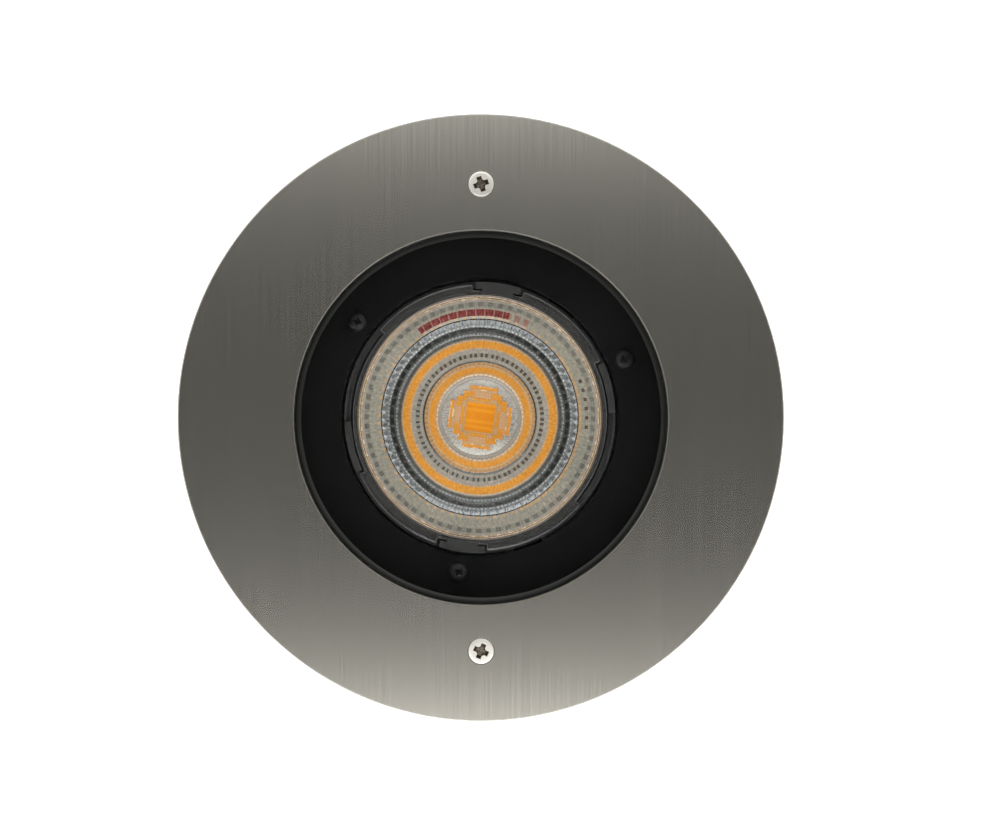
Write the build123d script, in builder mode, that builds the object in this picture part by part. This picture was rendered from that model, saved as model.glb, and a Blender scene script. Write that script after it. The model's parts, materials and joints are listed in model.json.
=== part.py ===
from build123d import *
import os
from math import radians, sqrt, tan

# In-ground well light: a stainless trim plate over a clamped, stepped glass,
# a snap-held moulded lens over one LED, a heat sink and driver in a cast
# housing with a cable gland, and the plastic sleeve that is set in the ground.
# Millimetres. Origin at the bottom centre of the sleeve, +Z up, +Y through a
# trim screw. Angles are counted from +X, anticlockwise seen from above.

# ---------------------------------------------------------------- sizes
# Levels that carry the stack, from the top face of the trim plate down
overall_height = 170.0
trim_thickness = 3.0
clamp_ring_thickness = 4.0
top_gasket_thickness = 1.0
glass_flange_thickness = 4.0
seat_gasket_thickness = 2.0
cover_ring_drop = 3.5
lens_flange_drop = 3.5
heat_sink_depth = 55.0
housing_floor_depth = 120.0

# Trim plate and its screws
trim_diameter = 180.0
trim_glass_gap = 0.6
trim_edge_break = 0.35
trim_land_depth = 0.2
trim_land_width = 4.6
trim_screw_circle = 138.5
trim_screw_count = 2
trim_screw_first = 90.0
trim_screw_length = 20.0
trim_screw_turns = (19.0, -23.0)

# Clamp ring that holds the glass
clamp_ring_margin = 1.5
clamp_ring_gap = 0.8
clamp_screw_circle = 138.0
clamp_screw_count = 6
clamp_screw_length = 8.0

# Stepped glass and its two gaskets
glass_diameter = 109.8
glass_flange_diameter = 124.0
glass_edge_chamfer = 1.5
glass_lower_chamfer = 0.6
top_gasket_margin = 0.9
seat_gasket_margin = 1.4

# Screws: M4 countersunk, M3 and M4 pan heads, all cross recessed
m4_diameter = 4.0
m4_head_diameter = 7.5
m4_head_rim = 0.2
m4_head_sink = 0.05
countersink_angle = 90.0
m4_recess_span = 4.4
m4_recess_width = 1.0
m4_recess_depth = 1.5
m4_pan_diameter = 8.0
m4_pan_height = 3.1
m3_diameter = 3.0
m3_pan_diameter = 6.0
m3_pan_height = 2.4
m3_recess_span = 3.2
m3_recess_width = 0.8
m3_recess_depth = 1.3
pan_crown_share = 0.45
recess_taper = 12.0
hex_sides = 6

# Clearances
thread_clearance = 0.06
hole_clearance = 0.3
seat_clearance = 0.3
turning_clearance = 0.05

# The optic stands turned by this angle against the trim screws
optic_turn = -8.0

# Cover ring round the lens, its posts and screws
deck_clearance = 0.5
holder_gap = 0.7
cover_ring_thickness = 2.0
cover_ring_edge_break = 0.3
cover_screw_circle = 92.8
cover_screw_count = 3
cover_screw_first = 30.0
cover_screw_length = 8.0
cover_post_diameter = 7.0

# Moulded lens
lens_body_diameter = 72.2
lens_flange_reach = 1.7
lens_tab_reach = 1.8
lens_flange_thickness = 2.0
lens_tip_diameter = 22.0
lens_tip_gap = 1.5
lens_facets = 72
lens_tiers = 5
lens_cavity_diameter = 17.2
lens_cavity_top_diameter = 13.0
lens_cavity_height = 13.0
lens_groove_diameters = (25.0, 33.6, 49.4, 57.8, 63.6)
lens_groove_width = 0.5
lens_groove_depth = 0.25
tab_inner_gap = 11.5
tab_span = 45.4

# Snap holder of the lens
holder_wall = 2.1
holder_lens_gap = 0.5
holder_ear_length = 9.0
holder_ear_width = 9.0
holder_ear_thickness = 2.5
holder_screw_circle = 90.8
holder_screw_count = 3
holder_screw_first = 60.0
holder_screw_length = 6.0
hook_angles = (90.0, 270.0)
hook_span = 19.8
hook_height = 3.8
hook_tongue_span = 14.2
hook_tongue_reach = 1.0
hook_tongue_thickness = 1.5
ledge_angles = (0.0, 180.0)
ledge_start = 10.0
ledge_end = 32.0
ledge_height = 2.4
pocket_start = -13.0
pocket_end = 10.0
pocket_wall = 0.8
pocket_height = 1.4

# LED, its clamp and thermal pad
led_board_side = 19.0
led_board_thickness = 1.0
thermal_pad_thickness = 0.5
phosphor_diameter = 14.5
phosphor_thickness = 0.6
clamp_flange_diameter = 35.0
clamp_flange_height = 2.3
clamp_collar_diameter = 22.0
clamp_collar_height = 4.0
clamp_window_diameter = 16.0
clamp_screw_spacing = 28.0
led_screw_length = 5.0
lead_socket_side = 5.0
lead_socket_radius = 20.0

# Heat sink
heat_sink_plate = 5.0
fin_depth = 22.0
fin_thickness = 1.6
fin_pitch = 6.0
fin_count = 13
fin_circle = 84.0
heat_sink_screw_circle = 95.0
heat_sink_screw_count = 3
heat_sink_screw_first = 90.0
heat_sink_screw_length = 12.0
fin_lead_clearance = 5.0

# Leads from the LED to the driver and their grommets
lead_diameter = 1.8
lead_path_radius = 31.0
lead_drop_rise = 5.3
lead_wander = 1.2
red_lead_start = 50.0
red_lead_end = 122.0
black_lead_start = -46.0
black_lead_end = 32.0
lead_steps = 4
lead_bend_share = 0.45
grommet_diameter = 7.0
grommet_bore = 4.6
grommet_lip = 1.0
grommet_lip_width = 1.2

# Driver, terminal block and the short leads between them
driver_length = 72.0
driver_width = 36.0
driver_height = 27.0
driver_center_y = 12.0
driver_wall = 1.6
driver_lid_thickness = 2.0
driver_ear = 7.0
driver_ear_thickness = 3.0
driver_screw_length = 6.0
driver_board_thickness = 1.6
driver_board_lift = 4.0
driver_board_gap = 0.5
transformer_size = (18.0, 16.0, 14.0)
transformer_x = -14.0
capacitor_diameter = 10.0
capacitor_height = 15.0
capacitor_spacing = 13.0
capacitor_x = 16.0
terminal_size = (22.0, 12.0, 15.0)
terminal_center = (17.0, -23.0)
terminal_pitch = 7.0
terminal_ways = 3
terminal_way_diameter = 4.0
terminal_way_depth = 8.0
mains_lead_diameter = 2.2
mains_lead_level = 10.0

# Housing
housing_flange_diameter = 155.0
housing_flange_thickness = 6.0
housing_rebate_gap = 0.6
housing_collar_wall = 1.9
housing_collar_depth = 13.0
housing_upper_bore = 110.0
housing_upper_wall = 4.0
housing_ledge = 4.0
housing_lower_wall = 3.5
housing_floor_thickness = 4.0
housing_rib_count = 12
housing_rib_thickness = 2.5
housing_rib_reach = 4.0
housing_rib_first = 15.0
housing_rib_foot = 15.0
housing_edge_round = 3.0
heat_sink_boss_diameter = 9.0

# Earthing screw on the floor of the housing
earth_screw_x = -34.0
earth_screw_y = -16.0
earth_screw_length = 8.0
earth_boss_diameter = 9.0
earth_boss_height = 6.0
earth_washer_diameter = 9.0
earth_washer_thickness = 0.8

# Cable gland
gland_x = -10.0
gland_y = -30.0
gland_thread_diameter = 20.0
gland_hex = 24.0
gland_hex_height = 5.0
gland_thread_above = 10.0
gland_thread_below = 12.5
gland_thread_step = 0.5
gland_wall = 2.5
gland_oring_diameter = 24.0
gland_oring_height = 1.5
gland_locknut_hex = 25.0
gland_locknut_height = 4.0
gland_seal_collar = 17.6
gland_seal_collar_height = 2.5
gland_seal_length = 12.0
gland_cable_bore = 7.0
gland_nut_hex = 24.0
gland_nut_gap = 1.0
gland_nut_wall = 3.0
gland_nut_mouth = 10.4
gland_nut_round = 2.0

# Sleeve set in the ground
sleeve_wall = 3.0
sleeve_collar_clearance = 0.5
sleeve_barrel_gap = 6.0
sleeve_shoulder = 3.0
sleeve_foot_diameter = 160.0
sleeve_foot_opening = 104.0
sleeve_foot_thickness = 3.0
sleeve_parting_line = 11.0
sleeve_rib_count = 8
sleeve_rib_first = 22.5
sleeve_rib_thickness = 3.0
sleeve_rib_reach = 5.0
conduit_level = 26.0
conduit_wall = 2.8
conduit_setback = 2.0
supply_conduit_bore = 25.2
onward_conduit_bore = 20.2
sleeve_lug_width = 11.0
sleeve_lug_height = 10.0
sleeve_lug_gap = 0.7
insert_diameter = 5.6
insert_length = 9.0

# ---------------------------------------------------------------- levels
trim_bottom = overall_height - trim_thickness
clamp_ring_bottom = trim_bottom - clamp_ring_thickness
glass_flange_top = clamp_ring_bottom - top_gasket_thickness
glass_bottom = glass_flange_top - glass_flange_thickness
housing_seat = glass_bottom - seat_gasket_thickness
housing_top = clamp_ring_bottom
housing_flange_bottom = housing_top - housing_flange_thickness
cover_ring_top = glass_bottom - cover_ring_drop
cover_ring_bottom = cover_ring_top - cover_ring_thickness
lens_flange_top = glass_bottom - lens_flange_drop
lens_flange_bottom = lens_flange_top - lens_flange_thickness
heat_sink_top = overall_height - heat_sink_depth
heat_sink_bottom = heat_sink_top - heat_sink_plate
housing_floor_top = overall_height - housing_floor_depth
housing_bottom = housing_floor_top - housing_floor_thickness
board_bottom = heat_sink_top + thermal_pad_thickness
board_top = board_bottom + led_board_thickness
lens_bottom = heat_sink_top + clamp_collar_height + lens_tip_gap
driver_top = housing_floor_top + driver_height
sleeve_top = trim_bottom - seat_clearance

os.makedirs("parts", exist_ok=True)


# ---------------------------------------------------------------- shared radii
m4_hole = m4_diameter / 2 + hole_clearance
m4_thread = m4_diameter / 2 + thread_clearance
m3_hole = m3_diameter / 2 + hole_clearance
m3_thread = m3_diameter / 2 + thread_clearance
countersink_slope = tan(radians(countersink_angle / 2))
m4_head_radius = m4_head_diameter / 2
m4_cone_height = (m4_head_radius - m4_diameter / 2) / countersink_slope
m4_countersink = (m4_head_radius + (m4_head_sink + m4_head_rim) * countersink_slope
                  + thread_clearance)
trim_screw_radius = trim_screw_circle / 2
cover_screw_radius = cover_screw_circle / 2
holder_screw_radius = holder_screw_circle / 2
heat_sink_screw_radius = heat_sink_screw_circle / 2
glass_radius = glass_diameter / 2
glass_flange_radius = glass_flange_diameter / 2
clamp_ring_bore = glass_radius + clamp_ring_gap
upper_radius = housing_upper_bore / 2
lower_radius = upper_radius - housing_ledge
deck_radius = upper_radius - deck_clearance
lens_tip_radius = lens_tip_diameter / 2
lens_body_radius = lens_body_diameter / 2
lens_flange_radius = lens_body_radius + lens_flange_reach
holder_bore_radius = lens_flange_radius + holder_lens_gap
holder_radius = holder_bore_radius + holder_wall
housing_flange_radius = housing_flange_diameter / 2
sleeve_collar_bore = housing_flange_radius + sleeve_collar_clearance
sleeve_collar_radius = sleeve_collar_bore + sleeve_wall
trim_land_bore = trim_diameter / 2 - trim_land_width


# ---------------------------------------------------------------- shapes used more than once
def recess_cutter(span, width, depth):
    """Cross recess with its mouth at z = 0, tapering down."""
    with BuildPart() as cutter:
        with BuildSketch(Plane.XY):
            Rectangle(span, width)
            Rectangle(width, span)
        extrude(amount=-depth, taper=recess_taper)
    return cutter.part


def countersunk_screw(length):
    """M4 countersunk screw, its head's top at z = 0."""
    shank_radius = m4_diameter / 2
    with BuildPart() as screw:
        with BuildSketch(Plane.XZ):
            with BuildLine():
                Polyline(
                    (0, 0),
                    (m4_head_radius, 0),
                    (m4_head_radius, -m4_head_rim),
                    (shank_radius, -m4_head_rim - m4_cone_height),
                    (shank_radius, -length),
                    (0, -length),
                    close=True,
                )
            make_face()
        revolve(axis=Axis.Z)
        add(recess_cutter(m4_recess_span, m4_recess_width, m4_recess_depth), mode=Mode.SUBTRACT)
    return screw.part


def pan_screw(diameter, head_diameter, head_height, length, span, width, depth):
    """Pan head screw, the underside of its head at z = 0."""
    side_height = head_height * (1 - pan_crown_share)
    with BuildPart() as screw:
        with BuildSketch(Plane.XZ):
            with BuildLine():
                Line((0, -length), (diameter / 2, -length))
                Line((diameter / 2, -length), (diameter / 2, 0))
                Line((diameter / 2, 0), (head_diameter / 2, 0))
                Line((head_diameter / 2, 0), (head_diameter / 2, side_height))
                ThreePointArc(
                    (head_diameter / 2, side_height),
                    (head_diameter / 4, side_height + head_height * pan_crown_share * 3 / 4),
                    (0, head_height),
                )
                Line((0, head_height), (0, -length))
            make_face()
        revolve(axis=Axis.Z)
        add(
            recess_cutter(span, width, depth).moved(Location((0, 0, head_height))),
            mode=Mode.SUBTRACT,
        )
    return screw.part


def ring_sector(inner, outer, start, end):
    """Flat piece of a ring between two radii and two angles."""
    with BuildSketch() as sector:
        with BuildLine():
            rim = CenterArc((0, 0), outer, start, end - start)
            root = CenterArc((0, 0), inner, start, end - start)
            Line(rim @ 0, root @ 0)
            Line(rim @ 1, root @ 1)
        make_face()
    return sector.sketch


def on_circle(radius, angle, level):
    """Point on a circle about the centre line."""
    return Vector(radius, 0, level).rotate(Axis.Z, angle)


def optic_level(height):
    """Level plane that is turned with the optic."""
    return Plane.XY.rotated((0, 0, optic_turn)).offset(height)


def m3_pan_screw(length):
    """M3 pan head screw, the underside of its head at z = 0."""
    return pan_screw(m3_diameter, m3_pan_diameter, m3_pan_height, length,
                     m3_recess_span, m3_recess_width, m3_recess_depth)


def m4_pan_screw(length):
    """M4 pan head screw, the underside of its head at z = 0."""
    return pan_screw(m4_diameter, m4_pan_diameter, m4_pan_height, length,
                     m4_recess_span, m4_recess_width, m4_recess_depth)


# ---------------------------------------------------------------- trim
with BuildPart() as trim_plate:
    with BuildSketch(Plane.XY.offset(trim_bottom)):
        Circle(trim_diameter / 2)
        Circle(glass_radius + trim_glass_gap, mode=Mode.SUBTRACT)
    extrude(amount=trim_thickness)
    with BuildSketch(Plane.XY.offset(trim_bottom)):
        Circle(trim_diameter / 2)
        Circle(trim_land_bore, mode=Mode.SUBTRACT)
    extrude(amount=-trim_land_depth)
    chamfer(trim_plate.edges().group_by(Axis.Z)[-1], trim_edge_break)
    with Locations(Plane.XY.offset(overall_height)):
        with PolarLocations(trim_screw_radius, trim_screw_count, trim_screw_first):
            CounterSinkHole(m4_hole, m4_countersink, trim_thickness, countersink_angle)
trim_plate.part.label = "trim_plate"
export_step(trim_plate.part, "parts/trim_plate.step")

trim_screw = countersunk_screw(trim_screw_length)
with BuildPart() as trim_screws:
    with Locations(
        Location((0, trim_screw_radius, overall_height - m4_head_sink), (0, 0, trim_screw_turns[0])),
        Location((0, -trim_screw_radius, overall_height - m4_head_sink), (0, 0, trim_screw_turns[1])),
    ):
        add(trim_screw)
trim_screws.part.label = "trim_screws"
export_step(trim_screws.part, "parts/trim_screws.step")


# ---------------------------------------------------------------- glass and its clamp
with BuildPart() as clamp_ring:
    with BuildSketch(Plane.XY.offset(clamp_ring_bottom)):
        Circle(housing_flange_radius - clamp_ring_margin)
        Circle(clamp_ring_bore, mode=Mode.SUBTRACT)
        with PolarLocations(trim_screw_radius, trim_screw_count, trim_screw_first):
            Circle(m4_hole, mode=Mode.SUBTRACT)
    extrude(amount=clamp_ring_thickness)
    with Locations(Plane.XY.offset(trim_bottom)):
        with PolarLocations(clamp_screw_circle / 2, clamp_screw_count):
            CounterSinkHole(m4_hole, m4_countersink, clamp_ring_thickness, countersink_angle)
clamp_ring.part.label = "clamp_ring"
export_step(clamp_ring.part, "parts/clamp_ring.step")

clamp_screw = countersunk_screw(clamp_screw_length)
with BuildPart(Plane.XY.offset(trim_bottom - m4_head_sink)) as clamp_screws:
    with PolarLocations(clamp_screw_circle / 2, clamp_screw_count):
        add(clamp_screw)
clamp_screws.part.label = "clamp_screws"
export_step(clamp_screws.part, "parts/clamp_screws.step")

with BuildPart() as glass_top_gasket:
    with BuildSketch(Plane.XY.offset(glass_flange_top)):
        Circle(glass_flange_radius - top_gasket_margin)
        Circle(clamp_ring_bore, mode=Mode.SUBTRACT)
    extrude(amount=top_gasket_thickness)
glass_top_gasket.part.label = "glass_top_gasket"
export_step(glass_top_gasket.part, "parts/glass_top_gasket.step")

with BuildPart() as cover_glass:
    with BuildSketch(Plane.XY.offset(glass_bottom)):
        Circle(glass_flange_radius)
    extrude(amount=glass_flange_thickness)
    chamfer(cover_glass.edges(), glass_lower_chamfer)
    with BuildSketch(Plane.XY.offset(glass_flange_top)):
        Circle(glass_radius)
    extrude(amount=overall_height - glass_flange_top)
    chamfer(cover_glass.edges().group_by(Axis.Z)[-1], glass_edge_chamfer)
cover_glass.part.label = "cover_glass"
export_step(cover_glass.part, "parts/cover_glass.step")

with BuildPart() as glass_seat_gasket:
    with BuildSketch(Plane.XY.offset(housing_seat)):
        Circle(glass_flange_radius)
        Circle(upper_radius + seat_gasket_margin, mode=Mode.SUBTRACT)
    extrude(amount=seat_gasket_thickness)
glass_seat_gasket.part.label = "glass_seat_gasket"
export_step(glass_seat_gasket.part, "parts/glass_seat_gasket.step")


# ---------------------------------------------------------------- cover ring
with BuildPart() as cover_ring:
    with BuildSketch(optic_level(cover_ring_bottom)):
        Circle(deck_radius)
        Circle(holder_radius + holder_gap, mode=Mode.SUBTRACT)
        with PolarLocations(cover_screw_radius, cover_screw_count, cover_screw_first):
            Circle(m3_hole, mode=Mode.SUBTRACT)
    extrude(amount=cover_ring_thickness)
    bore_edges = cover_ring.edges().filter_by(GeomType.CIRCLE).group_by(Axis.Z)[-1]
    chamfer(bore_edges.filter_by(lambda edge: edge.radius > m3_diameter), cover_ring_edge_break)
cover_ring.part.label = "cover_ring"
export_step(cover_ring.part, "parts/cover_ring.step")

cover_screw = m3_pan_screw(cover_screw_length)
with BuildPart(optic_level(cover_ring_top)) as cover_ring_screws:
    with PolarLocations(cover_screw_radius, cover_screw_count, cover_screw_first):
        add(cover_screw)
cover_ring_screws.part.label = "cover_ring_screws"
export_step(cover_ring_screws.part, "parts/cover_ring_screws.step")

with BuildPart() as cover_posts:
    with BuildSketch(optic_level(heat_sink_top)):
        with PolarLocations(cover_screw_radius, cover_screw_count, cover_screw_first):
            RegularPolygon(cover_post_diameter / 2, hex_sides)
            Circle(m3_thread, mode=Mode.SUBTRACT)
    extrude(amount=cover_ring_bottom - heat_sink_top)
cover_posts.part.label = "cover_posts"
export_step(cover_posts.part, "parts/cover_posts.step")


# ---------------------------------------------------------------- lens and its holder
with BuildPart() as tir_lens:
    for tier in range(lens_tiers + 1):
        share = tier / lens_tiers
        tier_radius = sqrt(lens_tip_radius**2 + (lens_body_radius**2 - lens_tip_radius**2) * share)
        tier_level = lens_bottom + (lens_flange_bottom - lens_bottom) * share
        with BuildSketch(optic_level(tier_level)):
            RegularPolygon(tier_radius, lens_facets)
    loft(ruled=True)
    with BuildSketch(optic_level(lens_flange_bottom)):
        Circle(lens_flange_radius)
        for side in hook_angles:
            for tab_start in (side + tab_inner_gap, side - tab_inner_gap - tab_span):
                add(ring_sector(lens_body_radius, lens_flange_radius + lens_tab_reach,
                                tab_start, tab_start + tab_span))
    extrude(amount=lens_flange_thickness)
    with BuildSketch(Plane.XY.offset(lens_bottom)):
        Circle(lens_cavity_diameter / 2)
    with BuildSketch(Plane.XY.offset(lens_bottom + lens_cavity_height)):
        Circle(lens_cavity_top_diameter / 2)
    loft(mode=Mode.SUBTRACT)
    for groove_diameter in lens_groove_diameters:
        with BuildSketch(Plane.XY.offset(lens_flange_top)):
            Circle(groove_diameter / 2 + lens_groove_width / 2)
            Circle(groove_diameter / 2 - lens_groove_width / 2, mode=Mode.SUBTRACT)
        extrude(amount=-lens_groove_depth, mode=Mode.SUBTRACT)
tir_lens.part.label = "tir_lens"
export_step(tir_lens.part, "parts/tir_lens.step")

with BuildPart() as optic_holder:
    with BuildSketch(optic_level(heat_sink_top)):
        Circle(holder_radius)
        Circle(holder_bore_radius, mode=Mode.SUBTRACT)
    extrude(amount=lens_flange_bottom - heat_sink_top)
    with BuildSketch(optic_level(heat_sink_top)):
        with PolarLocations(holder_screw_radius, holder_screw_count, holder_screw_first):
            Circle(holder_ear_width / 2)
        with PolarLocations(holder_screw_radius - holder_ear_length / 2,
                            holder_screw_count, holder_screw_first):
            Rectangle(holder_ear_length, holder_ear_width)
        Circle(holder_radius - holder_wall / 2, mode=Mode.SUBTRACT)
        with PolarLocations(holder_screw_radius, holder_screw_count, holder_screw_first):
            Circle(m3_hole, mode=Mode.SUBTRACT)
    extrude(amount=holder_ear_thickness)
    with BuildSketch(optic_level(lens_flange_bottom)):
        for side in hook_angles:
            add(ring_sector(holder_bore_radius, holder_radius, side - hook_span / 2, side + hook_span / 2))
    extrude(amount=hook_height)
    with BuildSketch(optic_level(lens_flange_bottom + hook_height)):
        for side in hook_angles:
            add(ring_sector(lens_flange_radius - hook_tongue_reach, holder_radius,
                            side - hook_tongue_span / 2, side + hook_tongue_span / 2))
    extrude(amount=-hook_tongue_thickness)
    with BuildSketch(optic_level(lens_flange_bottom)):
        for side in ledge_angles:
            add(ring_sector(holder_bore_radius, holder_radius, side + ledge_start, side + ledge_end))
    extrude(amount=ledge_height)
    with BuildSketch(optic_level(lens_flange_bottom)):
        for side in ledge_angles:
            add(ring_sector(holder_radius - pocket_wall, holder_radius,
                            side + pocket_start, side + pocket_end))
    extrude(amount=pocket_height)
optic_holder.part.label = "optic_holder"
export_step(optic_holder.part, "parts/optic_holder.step")

holder_screw = m3_pan_screw(holder_screw_length)
with BuildPart(optic_level(heat_sink_top + holder_ear_thickness)) as holder_screws:
    with PolarLocations(holder_screw_radius, holder_screw_count, holder_screw_first):
        add(holder_screw)
holder_screws.part.label = "holder_screws"
export_step(holder_screws.part, "parts/holder_screws.step")


# ---------------------------------------------------------------- LED
with BuildPart() as thermal_pad:
    with BuildSketch(optic_level(heat_sink_top)):
        Rectangle(led_board_side, led_board_side)
    extrude(amount=thermal_pad_thickness)
thermal_pad.part.label = "thermal_pad"
export_step(thermal_pad.part, "parts/thermal_pad.step")

with BuildPart() as led_board:
    with BuildSketch(optic_level(board_bottom)):
        Rectangle(led_board_side, led_board_side)
    extrude(amount=led_board_thickness)
led_board.part.label = "led_board"
export_step(led_board.part, "parts/led_board.step")

with BuildPart() as led_phosphor:
    with BuildSketch(optic_level(board_top)):
        Circle(phosphor_diameter / 2)
    extrude(amount=phosphor_thickness)
led_phosphor.part.label = "led_phosphor"
export_step(led_phosphor.part, "parts/led_phosphor.step")

with BuildPart() as led_clamp:
    with BuildSketch(optic_level(heat_sink_top)):
        Circle(clamp_flange_diameter / 2)
        for socket_angle in (red_lead_start - optic_turn, black_lead_start - optic_turn):
            with PolarLocations(lead_socket_radius - lead_socket_side / 2, 1, socket_angle):
                Rectangle(lead_socket_side, lead_socket_side)
    extrude(amount=clamp_flange_height)
    with BuildSketch(optic_level(heat_sink_top)):
        Circle(clamp_collar_diameter / 2)
    extrude(amount=clamp_collar_height)
    with BuildSketch(optic_level(heat_sink_top)):
        Rectangle(led_board_side + 2 * thread_clearance, led_board_side + 2 * thread_clearance)
    extrude(amount=board_top - heat_sink_top, mode=Mode.SUBTRACT)
    with BuildSketch(optic_level(heat_sink_top)):
        Circle(clamp_window_diameter / 2)
        with GridLocations(clamp_screw_spacing, 0, 2, 1):
            Circle(m3_hole)
    extrude(amount=clamp_collar_height, mode=Mode.SUBTRACT)
led_clamp.part.label = "led_clamp"
export_step(led_clamp.part, "parts/led_clamp.step")

led_screw = m3_pan_screw(led_screw_length)
with BuildPart(optic_level(heat_sink_top + clamp_flange_height)) as led_clamp_screws:
    with GridLocations(clamp_screw_spacing, 0, 2, 1):
        add(led_screw)
led_clamp_screws.part.label = "led_clamp_screws"
export_step(led_clamp_screws.part, "parts/led_clamp_screws.step")


# ---------------------------------------------------------------- heat sink
lead_hole_angles = (red_lead_end, black_lead_end)
with BuildPart() as heat_sink:
    with BuildSketch(optic_level(heat_sink_bottom)):
        Circle(deck_radius)
        with PolarLocations(heat_sink_screw_radius, heat_sink_screw_count, heat_sink_screw_first):
            Circle(m4_hole, mode=Mode.SUBTRACT)
        with PolarLocations(holder_screw_radius, holder_screw_count, holder_screw_first):
            Circle(m3_thread, mode=Mode.SUBTRACT)
        with GridLocations(clamp_screw_spacing, 0, 2, 1):
            Circle(m3_thread, mode=Mode.SUBTRACT)
    extrude(amount=heat_sink_plate)
    with BuildSketch(Plane.XY.offset(heat_sink_bottom)):
        with GridLocations(0, fin_pitch, 1, fin_count):
            Rectangle(fin_circle, fin_thickness)
        Circle(fin_circle / 2, mode=Mode.INTERSECT)
        with PolarLocations(heat_sink_screw_radius, heat_sink_screw_count,
                            heat_sink_screw_first + optic_turn):
            Circle(heat_sink_boss_diameter / 2 + deck_clearance, mode=Mode.SUBTRACT)
        for hole_angle in lead_hole_angles:
            with PolarLocations(lead_path_radius, 1, hole_angle):
                Circle(fin_lead_clearance, mode=Mode.SUBTRACT)
    extrude(amount=-fin_depth)
    with BuildSketch(Plane.XY.offset(heat_sink_bottom)):
        for hole_angle in lead_hole_angles:
            with PolarLocations(lead_path_radius, 1, hole_angle):
                Circle(grommet_diameter / 2 + thread_clearance)
    extrude(amount=heat_sink_plate, mode=Mode.SUBTRACT)
heat_sink.part.label = "heat_sink"
export_step(heat_sink.part, "parts/heat_sink.step")

heat_sink_screw = m4_pan_screw(heat_sink_screw_length)
with BuildPart(optic_level(heat_sink_top)) as heat_sink_screws:
    with PolarLocations(heat_sink_screw_radius, heat_sink_screw_count, heat_sink_screw_first):
        add(heat_sink_screw)
heat_sink_screws.part.label = "heat_sink_screws"
export_step(heat_sink_screws.part, "parts/heat_sink_screws.step")

with BuildPart() as lead_grommets:
    for hole_angle in lead_hole_angles:
        with BuildSketch(Plane.XY.offset(heat_sink_bottom)):
            with PolarLocations(lead_path_radius, 1, hole_angle):
                Circle(grommet_diameter / 2)
                Circle(grommet_bore / 2, mode=Mode.SUBTRACT)
        extrude(amount=heat_sink_plate)
        with BuildSketch(Plane.XY.offset(heat_sink_top)):
            with PolarLocations(lead_path_radius, 1, hole_angle):
                Circle(grommet_diameter / 2 + grommet_lip_width)
                Circle(grommet_bore / 2, mode=Mode.SUBTRACT)
        extrude(amount=grommet_lip)
lead_grommets.part.label = "lead_grommets"
export_step(lead_grommets.part, "parts/lead_grommets.step")


# ---------------------------------------------------------------- leads
lead_rest = heat_sink_top + lead_diameter / 2 + seat_clearance


def lead_route(start, end):
    """Points of a lead from its socket on the LED clamp, round and down to the driver."""
    points = [on_circle(lead_socket_radius, start, lead_rest)]
    for step in range(lead_steps + 1):
        share = step / lead_steps
        rise = lead_drop_rise * share * share
        points.append(on_circle(lead_path_radius, start + (end - start) * share, lead_rest + rise))
    drop_top = points[-1]
    drop_foot = on_circle(lead_path_radius, end, driver_top)
    drop_middle = Vector(drop_foot.X, drop_foot.Y, (drop_top.Z + driver_top) / 2)
    points[-1] = Vector(drop_top.X, drop_top.Y - lead_wander, drop_top.Z)
    return points + [drop_middle, drop_foot]


def bend_radii(points):
    """Radius of each corner, a share of the shorter run over the tangent of half the turn."""
    radii = []
    for before, corner, after in zip(points, points[1:], points[2:]):
        turn = (corner - before).get_angle(after - corner)
        shorter = min((corner - before).length, (after - corner).length)
        radii.append(lead_bend_share * shorter / tan(radians(turn / 2)))
    return radii


def lead_tube(points, colour_name):
    """Round lead along its route, its length and radii printed."""
    radii = bend_radii(points)
    with BuildPart() as tube:
        with BuildLine() as route:
            FilletPolyline(*points, radius=radii)
        start_run = points[1] - points[0]
        with BuildSketch(Plane(origin=points[0], z_dir=start_run)):
            Circle(lead_diameter / 2)
        sweep(path=route.wires()[0])
    print(colour_name, "lead: length", round(route.wires()[0].length, 1),
          "radii", [round(radius, 1) for radius in radii])
    return tube.part


red_points = lead_route(red_lead_start, red_lead_end)
with BuildPart() as red_lead:
    add(lead_tube(red_points, "red"))
red_lead.part.label = "red_lead"
export_step(red_lead.part, "parts/red_lead.step")

black_points = lead_route(black_lead_start, black_lead_end)
with BuildPart() as black_lead:
    add(lead_tube(black_points, "black"))
black_lead.part.label = "black_lead"
export_step(black_lead.part, "parts/black_lead.step")


# ---------------------------------------------------------------- driver
driver_lid_bottom = driver_top - driver_lid_thickness
driver_plane = Plane(origin=(0, driver_center_y, housing_floor_top))
driver_ear_offset = driver_length + driver_ear
with BuildPart() as driver_case:
    with BuildSketch(driver_plane):
        Rectangle(driver_length, driver_width)
    extrude(amount=driver_lid_bottom - housing_floor_top)
    with BuildSketch(driver_plane.offset(driver_wall)):
        Rectangle(driver_length - 2 * driver_wall, driver_width - 2 * driver_wall)
    extrude(amount=driver_lid_bottom - housing_floor_top, mode=Mode.SUBTRACT)
    with BuildSketch(driver_plane):
        with GridLocations(driver_ear_offset, 0, 2, 1):
            Rectangle(driver_ear, driver_ear)
            Circle(m3_hole, mode=Mode.SUBTRACT)
    extrude(amount=driver_ear_thickness)
    with BuildSketch(driver_plane.offset(driver_wall)):
        with GridLocations(driver_length / 2, driver_width / 2, 2, 2):
            Circle(m3_diameter)
    extrude(amount=driver_board_lift)
driver_case.part.label = "driver_case"
export_step(driver_case.part, "parts/driver_case.step")

with BuildPart() as driver_lid:
    with BuildSketch(driver_plane.offset(driver_lid_bottom - housing_floor_top)):
        Rectangle(driver_length, driver_width)
    extrude(amount=driver_lid_thickness)
driver_lid.part.label = "driver_lid"
export_step(driver_lid.part, "parts/driver_lid.step")

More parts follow.
